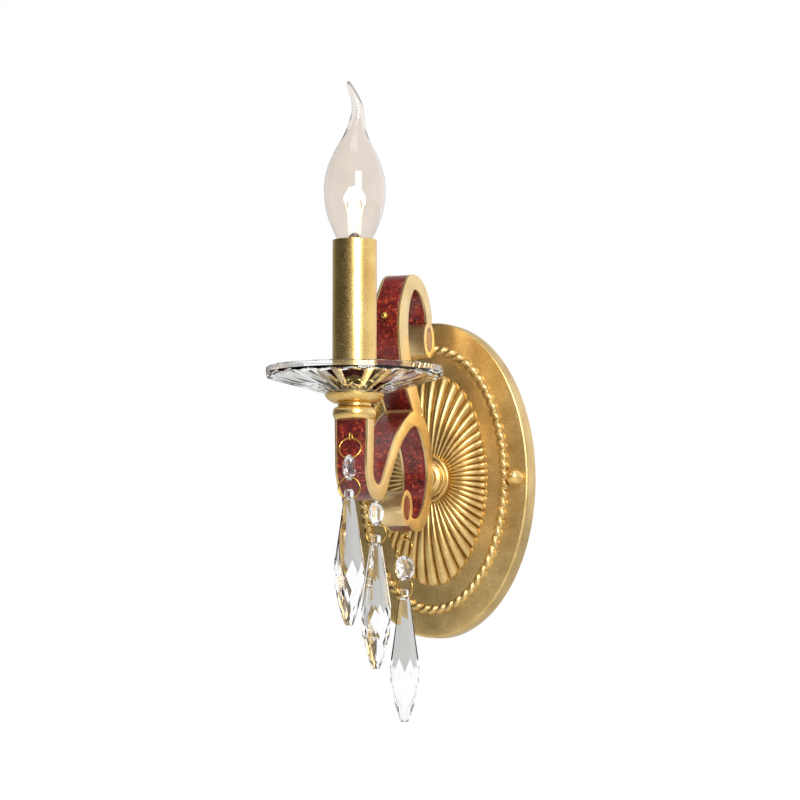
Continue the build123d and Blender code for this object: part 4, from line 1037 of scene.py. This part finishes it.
@dataclass
class FlameBulb:
    """The flame-tip bulb: its glass, its cap and what glows inside."""

    heading_deg: float = 23.0
    wall: float = 0.7
    sides: int = 64
    # height, radius and sway of the glass, first round its hollow and then in its solid tip
    hollow: tuple[tuple[float, float, float], ...] = (
        (109.0, 6.1, 0.0), (115.2, 6.1, 0.0), (117.5, 6.5, 0.0), (121.0, 7.5, 0.0), (126.0, 9.2, 0.0),
        (130.8, 10.9, 0.0), (135.2, 12.9, 0.0), (139.6, 14.7, 0.0), (145.8, 16.4, 0.0), (152.0, 17.3, 0.0),
        (158.2, 17.5, 0.0), (164.5, 16.9, 0.0), (170.7, 15.3, 0.0), (176.9, 12.7, 0.1), (183.2, 9.3, 0.2),
        (186.5, 7.6, 0.4), (189.4, 6.3, 0.6), (192.5, 5.3, 0.9), (195.6, 4.6, 1.25), (198.8, 4.05, 1.6),
        (201.9, 3.6, 1.75), (205.0, 3.25, 1.5))
    tip: tuple[tuple[float, float, float], ...] = (
        (208.1, 2.9, 0.75), (211.2, 2.55, -0.4), (214.3, 2.1, -1.8), (216.8, 1.6, -2.9), (218.3, 1.0, -3.4),
        (219.0, 0.4, -3.6))
    coil_foot: float = 151.0
    coil_bow: float = 5.4
    coil_half: float = 5.6
    coil_radius: float = 2.0
    coil_wire: float = 0.55
    coil_turns: int = 14
    coil_steps: int = 168
    leg_foot: float = 130.5
    leg_spread: float = 1.4
    leg_radius: float = 0.35

    def sway(self, offset: float, height: float) -> Vector:
        """The middle of the glass at a height, swayed by so much along the picture's right."""
        angle = math.radians(self.heading_deg)
        return Vector((offset * math.cos(angle), LEG_Y + offset * math.sin(angle), height))

    def glass(self) -> None:
        """Make the glass with its drawn-out, swaying tip."""
        cavity = [(z, max(0.25, r - self.wall - 0.12 * max(0.0, z - 186.0)), s) for z, r, s in self.hollow]
        rings = [self.circle(r, s, z) for z, r, s in reversed(cavity)]
        rings += [self.circle(r, s, z) for z, r, s in self.hollow + self.tip]
        Shape.stacked(rings).finish("bulb_envelope", Dress.BULB, "bulb", "bulb_glass", smooth_deg=60)

    def circle(self, radius: float, offset: float, height: float) -> list[Vector]:
        """A level circle of the glass."""
        middle = self.sway(offset, height)
        return [middle + Vector((radius * math.cos(a), radius * math.sin(a), 0)) for a in turns(self.sides)]

    def inside(self) -> None:
        """Make the glowing coil and its two supports."""
        angle = math.radians(self.heading_deg)
        across = Vector((math.cos(angle), math.sin(angle), 0))
        depth = across.cross(Vector((0, 0, 1)))
        line = []
        for step in range(self.coil_steps + 1):
            part = step / self.coil_steps
            bow = 1 - (part * 2 - 1) ** 2
            spin = part * self.coil_turns * 2 * math.pi
            centre = Vector((0, LEG_Y, self.coil_foot + self.coil_bow * bow))
            centre += across * (part * 2 - 1) * self.coil_half
            centre += Vector((0, 0, self.coil_radius * math.sin(spin)))
            centre += depth * self.coil_radius * math.cos(spin)
            line.append(centre)
        tube = []
        for index, centre in enumerate(line):
            ahead = line[min(index + 1, self.coil_steps)] - line[max(index - 1, 0)]
            facing = ahead.to_track_quat("Z", "Y").to_matrix()
            tube.append([centre + facing @ (self.coil_wire * Vector((math.cos(a), math.sin(a), 0)))
                         for a in turns(6)])
        Shape.stacked(tube).finish("glowing_coil", Dress.FILAMENT, "bulb", "bulb_filament", smooth_deg=80)
        legs = Shape()
        for side in (1, -1):
            foot = Vector((0, LEG_Y, self.leg_foot)) + across * side * self.leg_spread
            head = Vector((0, LEG_Y, self.coil_foot)) + across * side * self.coil_half
            legs.joined_with(rod(self.leg_radius, foot, head, 12))
        legs.finish("coil_supports", Dress.SUPPORT, "bulb", "bulb_supports")

    def build(self) -> None:
        """Build the glass and what glows in it."""
        self.glass()
        self.inside()


@dataclass
class Pendant:
    """One crystal pendant: an eye, a ring, a bead, a second ring and a long drop."""

    name: str
    eye: tuple[float, float, float]
    yaw_deg: float
    lean_deg: float
    stem: float
    wire: float = 0.8
    ring_radius: float = 6.15
    eye_wire: float = 1.1
    eye_radius: float = 2.05
    eye_sunk: float = 1.4
    wire_top: float = -0.93
    bead_slack: float = 0.19
    drop_slack: float = -0.085
    hole_to_centre: float = 5.1
    hole_radius: float = 1.1
    hole_depth: float = 5.2
    # radius, half thickness and phase in eighths of the bead's girdle, crown and table
    bead_rings: tuple[tuple[float, float, float], ...] = (
        (7.1 / math.cos(math.pi / 8), 0.6, 0.5), (6.1, 1.75, 0.0), (3.9, 3.2, 0.5))
    # depth, radius and phase in eighths of the drop's corners
    drop_rings: tuple[tuple[float, float, float], ...] = (
        (6.2, 3.15 / math.cos(math.pi / 8), 0.5), (40.0, 8.54, 0.5), (48.5, 8.87, 0.0), (57.0, 7.86, 0.5),
        (66.0, 5.56, 0.0), (72.0, 3.33 * 1.1, 0.5), (75.7, 2.3, 0.0), (76.0, 1.9, 0.0))
    # height and width of the steps of the drop's neck
    neck_steps: tuple[tuple[float, float], ...] = ((-5.5, 4.5), (-5.0, 4.9), (-0.9, 4.9), (0.0, 4.1))

    def place(self, x: float, y: float, z: float) -> Vector:
        """A place in the pendant's own frame, in the row frame."""
        return Vector(self.eye) + self.turn @ Vector((x, y, z))

    @property
    def turn(self) -> Matrix:
        """The pendant's turn about the vertical."""
        return Matrix.Rotation(math.radians(self.yaw_deg), 3, "Z")

    def bead(self, y: float, z: float) -> Shape:
        """A cut octagonal bead with its two holes.

        Args:
            y: its middle, towards the wall.
            z: its middle, upwards.

        Returns:
            The bead in the row frame.
        """
        points = []
        for radius, half, phase in self.bead_rings:
            for corner in range(8):
                angle = math.pi / 4 * (corner + phase)
                for side in (1, -1):
                    points.append(Vector((side * half, radius * math.cos(angle), radius * math.sin(angle))))
        bead = Shape.hull(points)
        holes = [rod(self.hole_radius, (-6, 0, up), (6, 0, up), 20) for up in
                 (self.hole_to_centre, -self.hole_to_centre)]
        return bead.cut_by(*holes).moved(turn=self.turn).moved(self.place(0, y, z))

    def drop(self, y: float, z: float) -> Shape:
        """A long cut drop with its hole.

        Args:
            y: its hole, towards the wall.
            z: its hole, upwards.

        Returns:
            The drop in the row frame.
        """
        points = []
        for depth, radius, phase in self.drop_rings:
            for index in range(8):
                angle = math.pi / 4 * (index + phase)
                points.append(Vector((radius * math.cos(angle), radius * math.sin(angle), -depth)))
        drop = Shape.hull(points)
        bm = drop.mesh
        top = max(bm.faces, key=lambda face: face.calc_center_median().z)
        for height, across in self.neck_steps:
            made = bmesh.ops.extrude_discrete_faces(bm, faces=[top])
            top = made["faces"][0]
            middle = top.calc_center_median()
            reach = max((vert.co - middle).length for vert in top.verts)
            factor = across / 2 / math.cos(math.pi / 8) / reach
            bmesh.ops.scale(bm, vec=(factor, factor, 1), verts=top.verts[:],
                            space=Matrix.Translation(-middle))
            bmesh.ops.translate(bm, vec=(0, 0, height - middle.z), verts=top.verts[:])
        bmesh.ops.remove_doubles(bm, verts=bm.verts, dist=0.0005)
        drop.outward()
        hole = rod(self.hole_radius, (-5, 0, -self.hole_depth), (5, 0, -self.hole_depth), 20)
        return drop.cut_by(hole).moved((0, 0, self.hole_depth), self.turn).moved(self.place(0, y, z))

    def build(self) -> None:
        """Build the pendant's four moving pieces."""
        lean = math.radians(self.lean_deg)
        axis = self.turn @ Vector((0, 1, 0))
        upper_axis = self.turn @ Vector((0, math.cos(lean), -math.sin(lean)))
        centre_y = -self.ring_radius * math.sin(lean)
        centre_z = self.wire_top - self.ring_radius * math.cos(lean)
        bead_y = 2 * centre_y
        bead_z = self.wire_top - 2 * self.ring_radius * math.cos(lean) - self.bead_slack - self.hole_to_centre
        lower_top = bead_z - self.hole_to_centre - self.bead_slack
        drop_z = lower_top - 2 * self.ring_radius - self.drop_slack
        body = self.name + "_"
        wire_ring(self.ring_radius, self.wire, self.place(0, centre_y, centre_z), upper_axis).finish(
            body + "top_ring", Dress.WIRE, body + "upper_ring", body + "upper_ring", smooth_deg=60)
        self.bead(bead_y, bead_z).finish(body + "cut_bead", Dress.CRYSTAL, body + "bead", body + "bead",
                                         smooth_deg=0)
        low_centre = self.place(0, bead_y, lower_top - self.ring_radius)
        wire_ring(self.ring_radius, self.wire, low_centre, axis).finish(
            body + "low_ring", Dress.WIRE, body + "lower_ring", body + "lower_ring", smooth_deg=60)
        self.drop(bead_y, drop_z).finish(body + "cut_drop", Dress.CRYSTAL, body + "drop", body + "drop",
                                         smooth_deg=0)

    def screw_eye(self) -> Shape:
        """The pendant's screw eye.

        Returns:
            The eye in the row frame, with its stem going up, or in towards the wall on the leg.
        """
        ring = wire_ring(self.eye_radius, self.eye_wire, Vector((0, 0, 0)), Vector((1, 0, 0)), 40, 12)
        top = self.eye_radius + self.stem + self.eye_sunk
        ring.joined_with(rod(self.eye_wire / 2, (0, 0, self.eye_radius), (0, 0, top), 16))
        into_leg = Matrix.Rotation(-math.pi / 2, 3, "X")
        return ring.moved(self.eye, into_leg if self.name == "front" else self.turn)


@dataclass
class Fittings:
    """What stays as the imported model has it, with its own finish, and the lead and bar behind the plate."""

    kept: tuple[tuple[str, Dress], ...] = (
        ("arm_nut", Dress.ZINC), ("threaded_nipple", Dress.ZINC), ("nipple_nuts", Dress.ZINC),
        ("lampholder_bracket", Dress.ZINC), ("lampholder_screws", Dress.ZINC),
        ("lampholder_body", Dress.HOLDER), ("lampholder_contacts", Dress.CAP), ("bulb_cap", Dress.CAP),
        ("bulb_button", Dress.CAP),
        ("bulb_insulator", Dress.BASE), ("bulb_stem", Dress.BULB), ("twin_lead", Dress.LEAD),
        ("mounting_studs", Dress.ZINC), ("earth_washer", Dress.ZINC))
    rounded: tuple[tuple[str, str, Dress, float], ...] = (
        ("mounting_bar", "wall_bar", Dress.ZINC, 0.25),
        ("terminal_block", "terminal_housing", Dress.BLOCK, 0.4),
        ("terminal_screws", "terminal_grub_screws", Dress.ZINC, 0.12),
        ("earth_screw", "earth_point", Dress.ZINC, 0.2),
        ("terminal_block_screw", "housing_screw", Dress.ZINC, 0.15))

    def build(self) -> None:
        """Dress the kept nodes and round the edges of the rest."""
        for node, dress in self.kept:
            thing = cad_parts[node]
            thing.data.materials.clear()
            thing.data.materials.append(dress.material)
            log.info("%s: kept, %s", node, dress.slot)
        for node, name, dress, width in self.rounded:
            Shape.of_node(node).softened(width).finish(name, dress, WALL_UNIT, node)


# ---------------------------------------------------------------- studio


@dataclass
class Studio:
    """The floor, the light and the camera."""

    azimuth_deg: float = 23.0
    elevation_deg: float = -5.0
    distance: float = 2580.0
    lens: float = 198.0
    slide_right: float = -19.64
    slide_up: float = 46.9
    floor_z: float = -260.0
    lamps: tuple[tuple[str, float, float, float, tuple[float, float], float], ...] = (
        ("key", 36, 20, 0.95, (0.34, 0.5), 7.8), ("top", 10, 75, 2.2, (1.2, 1.2), 5))
    lamp_aim: tuple[float, float, float] = (0, -0.07, 0.04)
    room_plain: float = 0.55
    room_scale: float = 2.0
    # the room that metal reflects: azimuth from the front, towards the right, and its level
    room_levels: tuple[tuple[float, float], ...] = (
        (-180, 0.72), (-118, 0.36), (-92, 0.10), (-48, 0.05), (-20, 0.10), (0, 0.30), (16, 0.55), (45, 0.65),
        (60, 0.65), (85, 0.85), (112, 1.15), (162, 1.15), (180, 0.72))

    @staticmethod
    def direction(azimuth: float, elevation: float) -> Vector:
        """The way to an azimuth from the front, towards the right, and an elevation, in degrees."""
        az, el = math.radians(azimuth), math.radians(elevation)
        return Vector((math.sin(az) * math.cos(el), -math.cos(az) * math.cos(el), math.sin(el)))

    @staticmethod
    def stand(thing: bpy.types.Object, place: Vector, back: Vector) -> None:
        """Stand a camera or lamp at a place in metres, with its back the given way."""
        thing.matrix_world = Matrix.Translation(place) @ back.to_track_quat("Z", "Y").to_matrix().to_4x4()

    def camera(self) -> None:
        """Set up the camera at the photograph's angle."""
        az = math.radians(self.azimuth_deg)
        back = self.direction(self.azimuth_deg, self.elevation_deg)
        right = Vector((math.cos(az), math.sin(az), 0))
        up = back.cross(right)
        place = Vector((0, -12.2, 0)) + back * self.distance + right * self.slide_right + up * self.slide_up
        data = bpy.data.cameras.new("camera")
        data.lens = self.lens
        data.sensor_width = 36.0
        data.clip_end = 30.0
        camera = linked("camera", data)
        self.stand(camera, place * MM, back)
        bpy.context.scene.camera = camera

    def lamp(self, name: str, azimuth: float, elevation: float, distance: float, size: tuple[float, float],
             watts: float) -> None:
        """Add a soft lamp that looks at the sconce.

        Args:
            name: the lamp's name.
            azimuth: degrees from the front, towards the right.
            elevation: degrees above the horizon.
            distance: metres from the sconce.
            size: its width and height in metres.
            watts: its power.
        """
        towards = self.direction(azimuth, elevation)
        data = bpy.data.lights.new(name, "AREA")
        data.shape = "RECTANGLE"
        data.size, data.size_y = size
        data.energy = watts
        self.stand(linked(name, data), Vector(self.lamp_aim) + towards * distance, towards)

    def world(self) -> None:
        """White to the camera and through glass, plain for soft light, and a graded room to reflect."""
        world = bpy.data.worlds.new("studio")
        world.use_nodes = True
        tree = world.node_tree
        tree.nodes.clear()
        path = add_node(tree, "ShaderNodeLightPath")
        seen = maths(tree, "MAXIMUM", path.outputs["Is Camera Ray"], path.outputs["Is Transmission Ray"])
        place = add_node(tree, "ShaderNodeTexCoord").outputs["Generated"]
        parts = add_node(tree, "ShaderNodeSeparateXYZ", {0: place})
        front = maths(tree, "MULTIPLY", parts.outputs["Y"], -1.0)
        around = maths(tree, "ARCTAN2", parts.outputs["X"], front)
        share = add_node(tree, "ShaderNodeMapRange", {"Value": around, "From Min": -math.pi,
                                                      "From Max": math.pi}).outputs[0]
        stops = [(azimuth / 360 + 0.5, (level / self.room_scale,) * 3 + (1.0,))
                 for azimuth, level in self.room_levels]
        bright = maths(tree, "MULTIPLY", ramp(tree, share, stops), self.room_scale)
        glossy = add_node(tree, "ShaderNodeMix", {"Factor": path.outputs["Is Glossy Ray"],
                                                  2: self.room_plain, 3: bright}, data_type="FLOAT")
        strength = add_node(tree, "ShaderNodeMix", {"Factor": seen, 2: glossy.outputs[0], 3: 1.0},
                            data_type="FLOAT")
        light = add_node(tree, "ShaderNodeBackground", {"Color": WHITE, "Strength": strength.outputs[0]})
        add_node(tree, "ShaderNodeOutputWorld", {"Surface": light.outputs[0]})
        bpy.context.scene.world = world

    def floor(self) -> None:
        """A plain pale floor that shows white to the camera and keeps the sconce's shadow."""
        shape = Shape()
        bmesh.ops.create_grid(shape.mesh, x_segments=1, y_segments=1, size=4000.0)
        bmesh.ops.scale(shape.mesh, vec=(MM,) * 3, verts=shape.mesh.verts)
        bmesh.ops.translate(shape.mesh, vec=(0, 0, self.floor_z * MM), verts=shape.mesh.verts)
        floor = shape.as_object("floor")
        material = bpy.data.materials.new("pale studio floor")
        material.use_nodes = True
        shader = material.node_tree.nodes["Principled BSDF"]
        shader.inputs["Base Color"].default_value = linear("#F4F3F0")
        shader.inputs["Roughness"].default_value = 0.9
        floor.data.materials.append(material)

    def build(self) -> None:
        """Set up the whole studio."""
        bpy.context.scene.view_settings.view_transform = "Standard"
        self.camera()
        self.world()
        self.floor()
        for lamp in self.lamps:
            self.lamp(*lamp)


def main() -> None:
    """Build every sub-assembly in order."""
    logging.basicConfig(level=logging.INFO, format="%(name)s %(message)s")
    Studio().build()
    WallPlate().build()
    ScrollArm().build()
    Candle().build()
    DripDish().build()
    FlameBulb().build()
    pendants = [Pendant("front", (1.0, -135.564, 16.6), 12.0, 20.277, 2.2),
                Pendant("middle", (-1.0, -95.0, -5.752), 0.0, 0.0, 4.4),
                Pendant("back", (0.0, -55.6, -35.147), -22.0, 0.0, 1.8)]
    eyes = Shape()
    for pendant in pendants:
        pendant.build()
        eyes.joined_with(pendant.screw_eye())
    eyes.finish("screw_eyes", Dress.WIRE, WALL_UNIT, "pendant_eyes", smooth_deg=60)
    Fittings().build()


if __name__ == "__main__":
    main()
